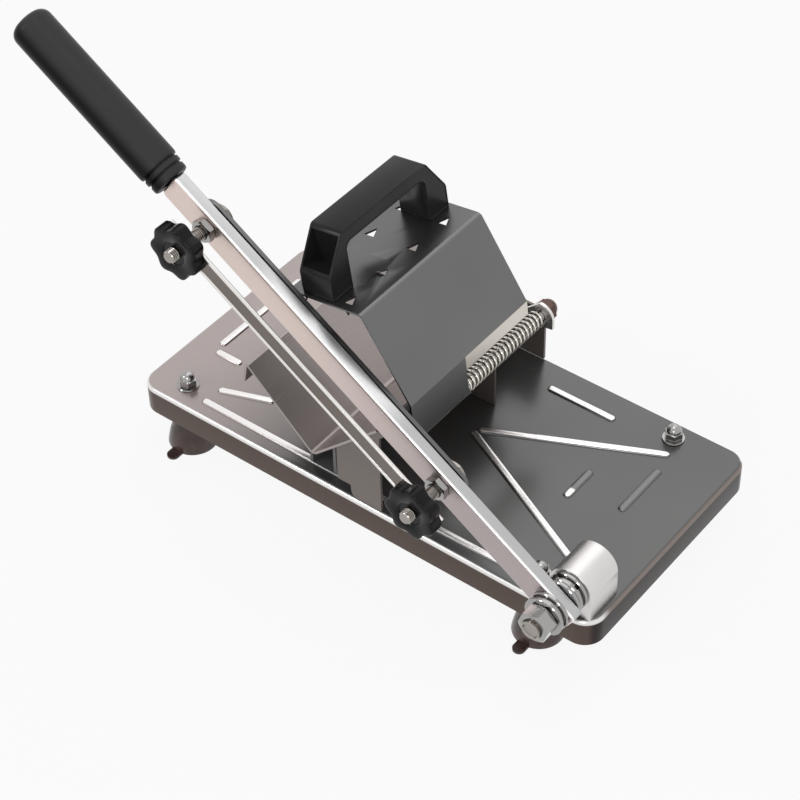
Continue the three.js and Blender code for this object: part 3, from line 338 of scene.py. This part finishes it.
plating = plated("bright_plating", (0.36, 0.355, 0.35), 0.1)
rubber = Finish("brown_rubber", ior=1.5, specular_ior_level=0.6, transmission_weight=0.35)
mottle = rubber.noise(120, 3)
rubber.set(base_color=rubber.blend(mottle.between(0.35, 0.7), (0.05, 0.026, 0.022), (0.11, 0.06, 0.052)),
           roughness=0.18 + 0.12 * mottle)
foot_spots = {"front_left": (27.5, 16, -1), "front_right": (294, 16, -1),
              "back_left": (27.5, 155, 1), "back_right": (294, 155, 1)}
for spot, (x, y, side) in foot_spots.items():
    cup = lathe([(0, -1.7), (7.2, -1.7), (8, -2.5), (8, -20), (8.4, -23), (10.56, -27.7), (12.8, -32),
                 (14.4, -37), (15.6, -42.5), (16, -44.9), (15.8, -45.6), (15.2, -45.7), (14.2, -45.3),
                 (12.6, -39), (10.4, -34), (6, -31), (0, -30)], 48)
    tab = bmesh.ops.create_cube(cup, size=1, matrix=Matrix.Translation((0, side * 18.5, -44.9))
                                @ Matrix.Diagonal((8, 10, 1.5, 1)))["verts"]
    tip = {e for v in tab for e in v.link_edges if all(w.co.y * side > 20 for w in e.verts)
           and abs(e.verts[0].co.z - e.verts[1].co.z) > 1}
    bevel_edges(cup, tip, 3.8, 6)
    piece(stand(cup, (x, y, 0)), "foot_" + spot, "frame", rubber, ["cup_" + spot])
    ring = washer(3.3, 7, 1)
    piece(stand(ring, (x, y, 0.2)), "foot_washer_" + spot, "frame", plating,
          ["cup_washer_" + spot])
    nut = stand(hex_nut(10, 5, 0, 4.6), (x, y, 1.4), (14 if x < 100 else 8, "Z"))
    piece(nut, "foot_nut_" + spot, "frame", plating, ["dome_nut_" + spot], sharp=28)
    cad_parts["cup_stud_" + spot].data.materials.clear()
    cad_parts["cup_stud_" + spot].data.materials.append(plating.material)


# The pivot bracket is a round-topped block of satin aluminium at the deck's right end. A stud stands
# in it, with washers on both sides of the lever, a split spring washer on each, and a hexagon nut.
def satin(name, colour, tint, rough, grain):
    """Drawn aluminium with a satin skin: soft clouds, a fine grain along its length, small pits."""
    finish = Finish(name, metallic=1.0)
    clouds = finish.noise(14, 3)
    streaks = finish.noise(900, 3, grain, roughness=0.65)
    pits = finish.noise(1500, 2)
    finish.set(
        base_color=finish.blend(clouds.between(0.3, 0.7), colour, tint),
        roughness=rough + 0.1 * streaks,
        normal=finish.bump(streaks + 0.5 * pits, 0.00002, 0.4),
    )
    return finish


bracket_metal = satin("bracket_metal", (0.66, 0.645, 0.64), (0.72, 0.70, 0.695), 0.32, (1, 0.1, 1))
bracket = bmesh.new()
front = corner_face(bracket, [(308, 4, 0.2), (336, 4, 0.2), (336, 4, 32), (308, 4, 32)],
                    {2: 13.99, 3: 13.99}, 18)
back = pulled(bracket, front, (0, 27, 0))
rims = [e for e in bracket.edges if abs(e.verts[0].co.y - e.verts[1].co.y) < 0.01
        and min(v.co.z for v in e.verts) > 0.3]
bevel_edges(bracket, rims, 1.0, 4)
piece(bracket, "bracket", "frame", bracket_metal, ["pivot_bracket"], sharp=40)


def along_y(bm, x, y, z, spin=0):
    """Stands a turned piece so that its foot is at y and it reaches to the front."""
    return stand(bm, (x, y, z), (spin, "Z"), (90, "X"))


def threaded(radius, length, thread, pitch=1.25, tip=0.9):
    """A stud with its thread cut back from the end, as rings of one pitch."""
    profile = [(0, 0), (radius, 0), (radius, length - thread)]
    turns = int(thread / pitch)
    start = length - turns * pitch
    for i in range(turns):
        root = radius - 0.55
        profile += [(radius, start + i * pitch + 0.15), (root, start + (i + 0.5) * pitch),
                    (radius, start + (i + 0.85) * pitch)]
    profile[-1] = (radius - tip, length)
    return lathe(profile + [(0, length)], 40)


pivot = (322, 18)
steel_stud = plated("plain_stud", (0.34, 0.315, 0.29), 0.2)
stud = along_y(lathe([(0, 0), (6, 0), (6, 60), (5.5, 60.75), (5.0, 60.75), (4.3, 59.6), (0, 59.2)], 48),
               pivot[0], 25.8, pivot[1])
piece(stud, "pivot_pin", "frame", steel_stud, ["pivot_stud"])
y = 4.0
for number, kind in enumerate(["washer", "spring_washer", "washer", "washer"], 1):
    thick = 2.4 if kind == "spring_washer" else 2.25
    y -= 0.2
    ring = washer(6.3, 10.6, thick, 60, 2 * math.pi - 0.25) if thick > 2.3 else washer(6.3, 12.5, thick, 60)
    if thick > 2.3:
        bmesh.ops.holes_fill(ring, edges=[e for e in ring.edges if e.is_boundary])
    piece(along_y(ring, pivot[0], y, pivot[1], 60), f"inner_ring_{number}", "frame",
          plating, [f"inner_{kind}_{number}"])
    y -= thick
y = -14.65
for number, kind in enumerate(["washer", "spring_washer", "washer"], 1):
    thick = 2.4 if kind == "spring_washer" else 2.25
    y -= 0.2
    ring = washer(6.3, 10.6, thick, 60, 2 * math.pi - 0.25) if thick > 2.3 else washer(6.3, 12.5, thick, 60)
    if thick > 2.3:
        bmesh.ops.holes_fill(ring, edges=[e for e in ring.edges if e.is_boundary])
    piece(along_y(ring, pivot[0], y, pivot[1], 200), f"outer_ring_{number}", "frame",
          plating, [f"outer_{kind}_{number}"])
    y -= thick
piece(along_y(hex_nut(18, 10, 6.1), pivot[0], y - 0.2, pivot[1], 12), "pivot_hexagon", "frame",
      plating, ["pivot_nut"], sharp=28)


# The feed trough is one sheet folded to a V, with its left rim turned over. Plates cut from the same
# sheet hold it: a channel leg at the front, and plates under the right wall, the middle and the back.
def folded(path, y0, y1, bends, steps=6):
    """A skin folded along y, through a path in x and z; bends maps a corner's number to its radius."""
    bm = bmesh.new()
    line = [bm.verts.new((x, y0, z)) for x, z in path]
    edges = [bm.edges.new(pair) for pair in zip(line, line[1:])]
    made = bmesh.ops.extrude_edge_only(bm, edges=edges)["geom"]
    bmesh.ops.translate(bm, verts=[v for v in made if isinstance(v, bmesh.types.BMVert)], vec=(0, y1 - y0, 0))
    folds = {i: next(e for e in line[i].link_edges if abs(e.other_vert(line[i]).co.y - y1) < 0.001)
             for i in bends}
    turned = {i: (line[i].co - line[i - 1].co).angle(line[i + 1].co - line[i].co) for i in bends}
    for i, radius in bends.items():
        bmesh.ops.bevel(bm, geom=[folds[i]], offset=radius * math.tan(turned[i] / 2), offset_type="OFFSET",
                        segments=steps, profile=0.5, affect="EDGES", material=-1)
    return bm


def cut(bm, point, normal, faces=None):
    """Cuts the faces along a plane and keeps both sides."""
    chosen = list(faces if faces is not None else bm.faces)
    edges = {e for f in chosen for e in f.edges}
    verts = {v for f in chosen for v in f.verts}
    bmesh.ops.bisect_plane(bm, geom=chosen + list(edges) + list(verts), dist=0.0005, plane_co=point,
                           plane_no=normal)


def drop(bm, unwanted):
    """Deletes the faces whose middle passes the test."""
    gone = [f for f in bm.faces if unwanted(f.calc_center_median())]
    bmesh.ops.delete(bm, geom=gone, context="FACES")


def thicken(bm, wall, up):
    """Thickness for a sheet, on the side that the vector points away from."""
    for face in bm.faces:
        face.normal_update()
    lead = max(bm.faces, key=lambda f: f.calc_area())
    if lead.normal.dot(Vector(up)) < 0:
        bmesh.ops.reverse_faces(bm, faces=bm.faces)
    bmesh.ops.solidify(bm, geom=bm.faces, thickness=wall)


trough_steel = polished("trough_steel", (0.36, 0.315, 0.305), (0.41, 0.36, 0.35), 0.2, (1, 0.05, 1), metallic=0.6)
trough = folded([(90.1, 51), (93, 67), (141.3, 20.7), (189.6, 67)], 0, 166, {1: 2, 2: 3})
cut(trough, (0, 143.5, 0), (0, 1, 0))
cut(trough, (0, 0, 45), (0, 0, 1))
drop(trough, lambda c: c.x > 145 and c.y > 143.5 and c.z > 45)
thicken(trough, 1.5, (1, 0, 1))
piece(trough, "trough_sheet", "frame", trough_steel, ["trough"], outward=True)

plates = {
    "front_plate": ([(171, 0.2), (190.6, 0.2), (190.6, 59.5), (200.6, 69.5), (213, 69.5)]
                    + arc(6, -75, 90, 12, (213, 75.5)) + [(191, 81.5), (191, 65.8), (158.5, 34.5),
                                                         (158.5, 9), (168, 9), (168.4, 4), (169.4, 1.4)],
                    1.5, 3.3),
    "middle_plate": ([(96, 0.2), (190.6, 0.2), (190.6, 63.5), (188.1, 63.5), (141.3, 18.2), (96, 61.6)],
                     113.8, 115.6),
    "rear_plate": ([(96, 0.2), (190.6, 0.2)] + arc(4, 0, 90, 6, (186.6, 36)) + arc(4, 90, 180, 6, (100, 36)),
                   166.4, 168.2),
}
plate_steel = polished("plate_steel", (0.17, 0.148, 0.138), (0.2, 0.172, 0.16), 0.4, (0.05, 1, 1), metallic=0.6)
for name, (points, y0, y1) in plates.items():
    plate = bmesh.new()
    face = plate.faces.new([plate.verts.new((x, y0, z)) for x, z in points])
    pulled(plate, face, (0, y1 - y0, 0))
    piece(plate, name + "_sheet", "frame", plate_steel, [name])
leg_steel = polished("leg_steel", (0.17, 0.17, 0.17), (0.2, 0.2, 0.2), 0.45, (1, 1, 0.05), metallic=0.5)
lug_steel = polished("lug_steel", (0.72, 0.7, 0.68), (0.78, 0.76, 0.74), 0.25, (1, 1, 0.05))
for name, steel in (("trough_leg", leg_steel), ("rear_lug", lug_steel)):
    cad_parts[name].data.materials.clear()
    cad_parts[name].data.materials.append(steel.material)


# The hinge rod is a bright bar of 8 mm with a head at the front. It runs through both lugs, and a dome
# nut closes it at the back. The cover turns on it and slides along it.
rod = along_y(lathe([(0, 0), (4, 0), (4, 133.2), (5.4, 133.4), (5.4, 134.2), (5.0, 134.6), (0, 134.6)], 40),
              213, 134.9, 75.5)
piece(rod, "rod", "frame", plating, ["hinge_rod"])
cap = stand(hex_nut(13, 6, 0, 6), (213, 129.2, 75.5), (10, "Z"), (-90, "X"))
dull_plating = plated("dull_plating", (0.1, 0.062, 0.055), 0.16)
piece(cap, "rod_cap", "frame", dull_plating, ["rod_cap_nut"], sharp=28)
seat_ring = along_y(washer(4.3, 5.9, 1.2), 213, 51.7, 75.5)
piece(seat_ring, "spring_washer", "seat", plating, ["spring_seat"])


# The hold-down cover is one sheet: a sloping top, a ridge, a side wall, and a flange whose front part
# is rolled round the rod. Triangles are lanced out of the top and hang down as teeth.
cover_steel = polished("cover_steel", (0.155, 0.155, 0.155), (0.17, 0.17, 0.17), 0.24, (1, 0.04, 1))
own_colour = Wire(cover_steel, cover_steel.shader.inputs["Base Color"].links[0].from_socket)
# The flange's rear part, below the crease, is painted a bright cream: a painted reflection of the spring.
below = (cover_steel.axis("Z") * -1).between(-0.1463, -0.1455)
behind = cover_steel.axis("Y").between(-0.0165, -0.0155)
cover_steel.set(base_color=cover_steel.blend(below * behind, own_colour, (0.66, 0.62, 0.56)))
crease, knuckle = (215.5, 100.4), (213, 75.5)
reach = math.hypot(crease[0] - knuckle[0], crease[1] - knuckle[1])
tangent = math.degrees(math.atan2(crease[1] - knuckle[1], crease[0] - knuckle[0])
                       - math.acos(5.5 / reach))
roll = arc(5.5, tangent, tangent - 265, 30, knuckle)
cover = folded([(131, 142.3), (182.1, 149.6), crease] + roll, 0, 110, {1: 3.5, 2: 2}, 8)
for y in (3.7, 50.1):
    cut(cover, (0, y, 0), (0, 1, 0))
cut(cover, (0, 0, 84.5), (0, 0, 1))
cut(cover, (0, 0, 91.2), (0, 0, 1))
drop(cover, lambda c: c.x > 200 and ((c.y < 3.7 and c.z < 84.5) or (c.y > 50.1 and c.z < 91.2)))
slope = math.atan2(7.3, 51.1)
up_top = Vector((-math.sin(slope), 0, math.cos(slope)))
across_top = Vector((math.cos(slope), 0, math.sin(slope)))


def on_top(along, y, rise=0.0):
    """A point of the cover's top, from its free edge, at y, and above the sheet."""
    return Vector((131, y, 142.3)) + along * across_top + rise * up_top


teeth = [(along, 5.2 + 28.5 * i) for along in (7.4, 37.8) for i in range(4)]
for along, y in teeth:
    near = [f for f in cover.faces if abs(f.normal.dot(up_top)) > 0.999
            and abs((f.calc_center_median() - on_top(0, 0)).dot(up_top)) < 0.01]
    for start, end in [((-3.55, 0), (3.55, 0)), ((3.55, 0), (0, 8)), ((-3.55, 0), (0, 8))]:
        near = [f for f in cover.faces if abs(f.normal.dot(up_top)) > 0.999 and f.calc_center_median().z > 141]
        run = on_top(end[0], end[1]) - on_top(start[0], start[1])
        cut(cover, on_top(along + start[0], y + start[1]), run.cross(up_top), near)


def in_slot(centre):
    """Whether a point of the top lies in one of the lanced triangles."""
    along = (centre - on_top(0, 0)).dot(across_top)
    return any(0 < centre.y - y < 8 and abs(along - a) < 3.55 * (1 - (centre.y - y) / 8)
               and centre.z > 141 for a, y in teeth)


drop(cover, in_slot)
bmesh.ops.dissolve_limit(cover, angle_limit=0.001, verts=cover.verts, edges=cover.edges)
for along, y in teeth:
    feet = [min(cover.verts, key=lambda v: (v.co - on_top(along + side, y)).length) for side in (-3.55, 3.55)]
    point = cover.verts.new(on_top(along, y + 0.4, -8))
    cover.faces.new([feet[1], feet[0], point])
thicken(cover, 1.2, (0, 0, 1))
piece(cover, "cover_sheet", "hold_down", cover_steel, ["cover"], outward=True)


# The handle is moulded in black plastic and screwed to the cover from inside. It is an arch with
# sloping ends, and each end is hollowed to a pocket behind a thin rim.
def moulded(name, colour, worn, rough, grain=1800, sheen=0.2):
    """Moulded plastic: a fine spark texture, and a little more gloss where hands rub it."""
    finish = Finish(name, base_color=colour, ior=1.48, specular_ior_level=sheen)
    texture = finish.noise(grain, 2)
    rubbed = finish.noise(26, 3).between(0.35, 0.7)
    finish.set(base_color=finish.blend(rubbed, colour, worn), roughness=rough - 0.1 * rubbed + 0.1 * texture,
               normal=finish.bump(texture, 0.00003, 0.3))
    return finish


handle_black = moulded("handle_black", (0.012, 0.012, 0.012), (0.017, 0.017, 0.017), 0.24)
handle = bmesh.new()
side = [(2.2, 0.2), (2.2, 15), (17.2, 37.6), (92.2, 37.6), (107.2, 15), (107.2, 0.2), (90.2, 0.2),
        (90.2, 28.8), (19.2, 28.8), (19.2, 0.2)]
arch = corner_face(handle, [(-11, y, h) for y, h in side], {1: 1, 2: 1.5, 3: 1.5, 4: 1, 7: 5, 8: 5}, 4)
far_side = pulled(handle, arch, (22, 0, 0))
bmesh.ops.recalc_face_normals(handle, faces=handle.faces)
ends = [f for f in handle.faces if abs(f.normal.x) < 0.1 and abs(f.normal.z) > 0.4 and abs(f.normal.y) > 0.6
        and f.calc_area() > 300]
for end in ends:
    bmesh.ops.inset_individual(handle, faces=[end], thickness=2.0, depth=0)
    inner = pulled(handle, end, (0, 0, 0), closed=False)
    wall = 16.0 if inner.calc_center_median().y < 50 else 93.4
    for v in inner.verts:
        v.co.y = wall
        v.co.x *= 0.82
        v.co.z = min(v.co.z - 1.5, 34.8)
for flank in [f for f in handle.faces if abs(f.normal.x) > 0.99 and f.calc_area() > 500]:
    bmesh.ops.inset_individual(handle, faces=[flank], thickness=0.7, depth=0)
    bmesh.ops.inset_individual(handle, faces=[flank], thickness=0.35, depth=-0.35)
crown = [e for e in handle.edges if len(e.link_faces) == 2 and e.calc_face_angle(0) > 0.5
         and abs(abs(e.verts[0].co.x) - 11) < 0.01 and abs(abs(e.verts[1].co.x) - 11) < 0.01
         and e.verts[0].co.z > 14 and e.verts[1].co.z > 14]
bevel_edges(handle, crown, 0.5, 3)
tilt = Matrix((across_top, (0, 1, 0), up_top)).transposed()
bmesh.ops.rotate(handle, verts=handle.verts, cent=(0, 0, 0), matrix=tilt)
bmesh.ops.translate(handle, verts=handle.verts, vec=on_top(20, 0))
piece(handle, "handle", "hold_down", handle_black, ["cover_handle"], sharp=38)
for end in ("front", "rear"):
    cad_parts["handle_screw_" + end].data.materials.clear()
    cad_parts["handle_screw_" + end].data.materials.append(plating.material)


# The spring is bright wire, wound open round the rod. It pushes the seat washer and the cover to the
# front, and it is pressed together against the rear lug when the cover slides back.
spring_wire = plated("spring_wire", (0.78, 0.74, 0.67), 0.12)
turns, steps = 21, 24
spring = bmesh.new()
ring = bmesh.ops.create_circle(spring, cap_ends=False, segments=10, radius=0.6,
                               matrix=Matrix.Translation((4.9, 0, 0)))["verts"]
loop = list({e for v in ring for e in v.link_edges})
bmesh.ops.spin(spring, geom=list(ring) + loop, cent=(0, 0, 0), axis=(0, 1, 0), angle=-2 * math.pi * turns,
               dvec=(0, 73.3 / (turns * steps), 0), steps=turns * steps, use_merge=False, use_duplicate=False)
bmesh.ops.remove_doubles(spring, verts=spring.verts, dist=0.0005)
bmesh.ops.holes_fill(spring, edges=[e for e in spring.edges if e.is_boundary], sides=12)
bmesh.ops.translate(spring, verts=spring.verts, vec=(213, 52.7, 75.5))
coil = piece(spring, "coil", "frame", spring_wire, ["cover_spring"], sharp=60)
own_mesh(coil)


# The lever is a bar of satin aluminium with softened edges. It turns on the pivot stud, and its far
# end carries a moulded grip on a tang, with a ringed collar where the bar goes in.
def on_lever(bm):
    """Raises a piece drawn level, with the pivot at the origin, to the lever's place."""
    return stand(bm, (322, 0, 18), (33.42, "Y"))


lever_metal = satin("lever_metal", (0.62, 0.56, 0.53), (0.68, 0.615, 0.585), 0.3, (0.05, 1, 1))
# The lever's faces carry painted light. The front is painted a warm reflection that darkens towards the pivot, and the
# top is painted with a highlight in its middle. A bright painted highlight runs along the edge between them.
ahead = lever_metal.axis("Y") * -1
by_pivot = lever_metal.axis("X").between(-0.02, 0.13)
front_painted_reflection = lever_metal.blend(by_pivot, (0.72, 0.605, 0.56), (0.43, 0.375, 0.375))
middle = lever_metal.axis("X")
middle = middle.between(-0.03, -0.005) * (1 - middle.between(0.05, 0.075))
top_face = lever_metal.blend(middle, (0.5, 0.5, 0.505), (0.86, 0.86, 0.87))
top_painted_highlight = lever_metal.blend(ahead.between(0.0794, 0.0798), top_face, (0.95, 0.94, 0.93))
lever_metal.set(base_color=lever_metal.blend(ahead.between(0.0805, 0.0809), top_painted_highlight, front_painted_reflection))
bar = bmesh.new()
front = corner_face(bar, [(-314.6, -14.65, -9.2), (13, -14.65, -9.2), (13, -14.65, 9.2), (-314.6, -14.65, 9.2)],
                    {0: 3, 1: 3, 2: 3, 3: 3}, 5)
pulled(bar, front, (0, 8.5, 0))
bevel_edges(bar, [e for e in bar.edges if abs(e.verts[0].co.y - e.verts[1].co.y) < 0.01], 1.3, 4)
piece(on_lever(bar), "bar", "lever", lever_metal, ["lever_bar"], sharp=40)

grip_black = moulded("grip_black", (0.006, 0.006, 0.006), (0.009, 0.009, 0.009), 0.3, sheen=0.08)
# The grip's upper side is painted lighter as a painted sheen; below it stays black.
rise = math.radians(33.42)
off_axis = math.sin(rise) * grip_black.axis("X") + math.cos(rise) * grip_black.axis("Z") - 0.1494
grip_black.set(base_color=grip_black.blend(off_axis.between(0.002, 0.01), (0.006, 0.006, 0.006), (0.055, 0.055, 0.055)))
profile = [(5.3, 0), (10.4, 0), (11.1, 0.4), (11.4, 1.2), (11.4, 3.9), (10.9, 4.5), (10.3, 5.2), (10.9, 5.8),
           (11.8, 6.1), (11.8, 8.4), (11.4, 9.0), (10.6, 9.6), (11.2, 10.2), (12.3, 10.6), (12.6, 11.6),
           (12.65, 14), (12.65, 113.5)] + arc(6.4, 0, 90, 8, (6.25, 113.5)) + [(0, 119.9), (0, 80.4), (5.3, 80.4),
                                                                              (5.3, 0)]
grip = stand(lathe(profile, 56), (-315, -10.4, 0), (-90, "Y"))
piece(on_lever(grip), "grip_sleeve", "lever", grip_black, ["grip"], sharp=30)


# The knife is a ground steel plate bolted flat to the lever's back, flush with its top and rounded off
# past each stud. Its lower edge is ground to a bevel from the front.
knife_metal = polished("knife_metal", (0.15, 0.148, 0.147), (0.18, 0.177, 0.175), 0.24, (0.03, 1, 1))
knife = bmesh.new()
points = (arc(9.4, 90, 180, 10, (-286, 0)) + [(-295.4, -4), (-287.4, -24), (-86.6, -24), (-78.6, -4)]
          + arc(9.4, 0, 90, 10, (-88, 0)))
face = knife.faces.new([knife.verts.new((x, -5.95, z)) for x, z in points])
pulled(knife, face, (0, 2.5, 0))
cut(knife, (0, 0, -17), (0, 0, 1))
for v in knife.verts:
    if v.co.z < -23.9 and v.co.y < -5:
        v.co.y = -3.75
piece(on_lever(knife), "knife", "lever", knife_metal, ["blade"], sharp=20)


# Two studs of 8 mm go through knife and lever, and a jam nut locks each in front. The stop rail hangs
# on them between flanged sleeves and seven-lobed knobs, whose turning sets the slice thickness.
rail_steel = polished("rail_steel", (0.16, 0.135, 0.12), (0.19, 0.165, 0.15), 0.18, (0.04, 1, 1))
rail = bmesh.new()
face = rail.faces.new([rail.verts.new((-297, y, z)) for y, z in
                       ((-32.3, -6.6), (-30.9, -6.6), (-30.9, 6.0), (-32.3, 6.0))])
pulled(rail, face, (220, 0, 0))
piece(on_lever(rail), "stop_rail", "guide", rail_steel, ["guide_rail"], sharp=40)
# The hems are painted far brighter than the rail's face: a painted highlight along its folded edges.
hem_painted_highlight = polished("hem_painted_highlight", (0.74, 0.72, 0.7), (0.8, 0.78, 0.76), 0.16, (0.04, 1, 1))
hems = bmesh.new()
for low, high in ((-6.8, -4.6), (4.4, 6.2)):
    face = hems.faces.new([hems.verts.new((-297, y, z)) for y, z in
                           ((-32.9, low), (-31.0, low), (-31.0, high), (-32.9, high))])
    pulled(hems, face, (220, 0, 0))
bevel_edges(hems, [e for e in hems.edges if abs(e.verts[0].co.x - e.verts[1].co.x) > 50], 0.5, 3)
piece(on_lever(hems), "rail_hems", "guide", hem_painted_highlight, sharp=40)

knob_black = moulded("knob_black", (0.003, 0.003, 0.003), (0.005, 0.005, 0.005), 0.2)
for end, along in (("near", 91.5), ("far", 282.5)):
    shank = along_y(threaded(4, 46.1, 27), -along, -0.3, 0)
    head_mesh = bpy.data.meshes.new("head")
    head = along_y(hex_nut(15, 3, 0), -along, -0.25, 0, 30)
    head.to_mesh(head_mesh)
    head.free()
    shank.from_mesh(head_mesh)
    bpy.data.meshes.remove(head_mesh)
    piece(on_lever(shank), "threaded_stud_" + end, "lever", steel_stud, ["stud_" + end],
          sharp=25)
    jam = along_y(hex_nut(13, 4.5, 4.2), -along, -14.85, 0)
    piece(on_lever(jam), "lock_nut_" + end, "lever", plating, ["jam_nut_" + end], sharp=28)
    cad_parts["knob_sleeve_" + end].data.materials.clear()
    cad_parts["knob_sleeve_" + end].data.materials.append(plating.material)

    knob = bmesh.new()
    ring = bmesh.ops.create_circle(knob, cap_ends=True, segments=126, radius=17)["verts"]
    for v in ring:
        lobe = 1 - 1.2 * (1 - math.cos(7 * math.atan2(v.co.y, v.co.x))) / 17
        v.co *= lobe
    blank = knob.faces[:][0]
    top_face = pulled(knob, blank, (0, 0, 9.4))
    bmesh.ops.recalc_face_normals(knob, faces=knob.faces)
    bevel_edges(knob, [e for e in knob.edges if abs(e.verts[0].co.z - e.verts[1].co.z) < 0.01], 1.0, 4)
    top_face = max((f for f in knob.faces if f.normal.z > 0.99), key=lambda f: f.calc_area())
    for radius, depth in ((8.4, 0), (7.5, 0.6), (7.2, 1.2), (4.3, 0)):
        bmesh.ops.inset_individual(knob, faces=[top_face], thickness=0.4, depth=0)
        for v in top_face.verts:
            scale = radius / math.hypot(v.co.x, v.co.y)
            v.co.x *= scale
            v.co.y *= scale
            v.co.z = 9.4 - depth if depth else v.co.z
    piece(on_lever(along_y(knob, -along, -33.1, 0, 12)), "star_knob_" + end, f"knob_{end}_set",
          knob_black, ["knob_" + end], sharp=35)


# The slicer stands on a plain pale floor, under soft lamps: a broad one from above and behind, one from
# the left, and a low one from the front right.
floor_paint = Finish("floor_paint", base_color=(0.8, 0.8, 0.8), roughness=0.9)
rays = floor_paint.node("LightPath")
glow = floor_paint.node("Emission", {}, {"Color": (1.0, 1.0, 1.0), "Strength": 1.0})
white_share = 0.9 * rays + 0.9 * Wire(floor_paint, rays.socket.node.outputs["Is Glossy Ray"]) \
    + 0.9 * Wire(floor_paint, rays.socket.node.outputs["Is Transmission Ray"])
seen = floor_paint.node("MixShader", {}, {0: white_share, 1: Wire(floor_paint, floor_paint.shader.outputs[0]),
                                          2: glow})
floor_paint.tree.links.new(seen.socket, floor_paint.tree.nodes["Material Output"].inputs["Surface"])
floor = bmesh.new()
bmesh.ops.create_grid(floor, x_segments=1, y_segments=1, size=4)
bmesh.ops.translate(floor, verts=floor.verts, vec=(0, 0, -0.0005))
floor_mesh = bpy.data.meshes.new("floor")
floor.to_mesh(floor_mesh)
floor_mesh.materials.append(floor_paint.material)
ground = bpy.data.objects.new("floor", floor_mesh)
bpy.context.scene.collection.objects.link(ground)

lamps = {"behind": ((-0.3, 1.5, 1.6), 1.6, 5), "left": ((-0.95, -1.4, 1.1), 0.3, 5),
         "front": ((0.75, -1.25, 0.75), 0.25, 3), "overhead": ((0, 0, 2.2), 1.2, 7)}
for name, (spot, size, power) in lamps.items():
    lamp = bpy.data.lights.new(name, "AREA")
    lamp.shape = "SQUARE"
    lamp.size = size
    lamp.energy = power
    holder = bpy.data.objects.new(name, lamp)
    holder.location = spot
    holder.rotation_euler = (Vector(spot) - Vector((0, 0, 0.05))).to_track_quat("Z", "Y").to_euler()
    bpy.context.scene.collection.objects.link(holder)

room = bpy.data.worlds.new("room")
room.use_nodes = True
bpy.context.scene.world = room
shades = room.node_tree.nodes
shade = shades["Background"]
shade.inputs["Color"].default_value = (0.42, 0.42, 0.42, 1)
white = shades.new("ShaderNodeBackground")
mixer = shades.new("ShaderNodeMixShader")
paths = shades.new("ShaderNodeLightPath")
either = shades.new("ShaderNodeMath")
either.operation = "MAXIMUM"
room.node_tree.links.new(paths.outputs["Is Glossy Ray"], either.inputs[0])
room.node_tree.links.new(paths.outputs["Is Transmission Ray"], either.inputs[1])
open_view = shades.new("ShaderNodeMath")
open_view.operation = "MAXIMUM"
room.node_tree.links.new(either.outputs[0], open_view.inputs[0])
room.node_tree.links.new(paths.outputs["Is Camera Ray"], open_view.inputs[1])
room.node_tree.links.new(open_view.outputs[0], mixer.inputs[0])
room.node_tree.links.new(shade.outputs[0], mixer.inputs[1])
white.inputs["Color"].default_value = (1, 1, 1, 1)
room.node_tree.links.new(white.outputs[0], mixer.inputs[2])
room.node_tree.links.new(mixer.outputs[0], shades["World Output"].inputs["Surface"])

bpy.context.scene.view_settings.view_transform = "Standard"
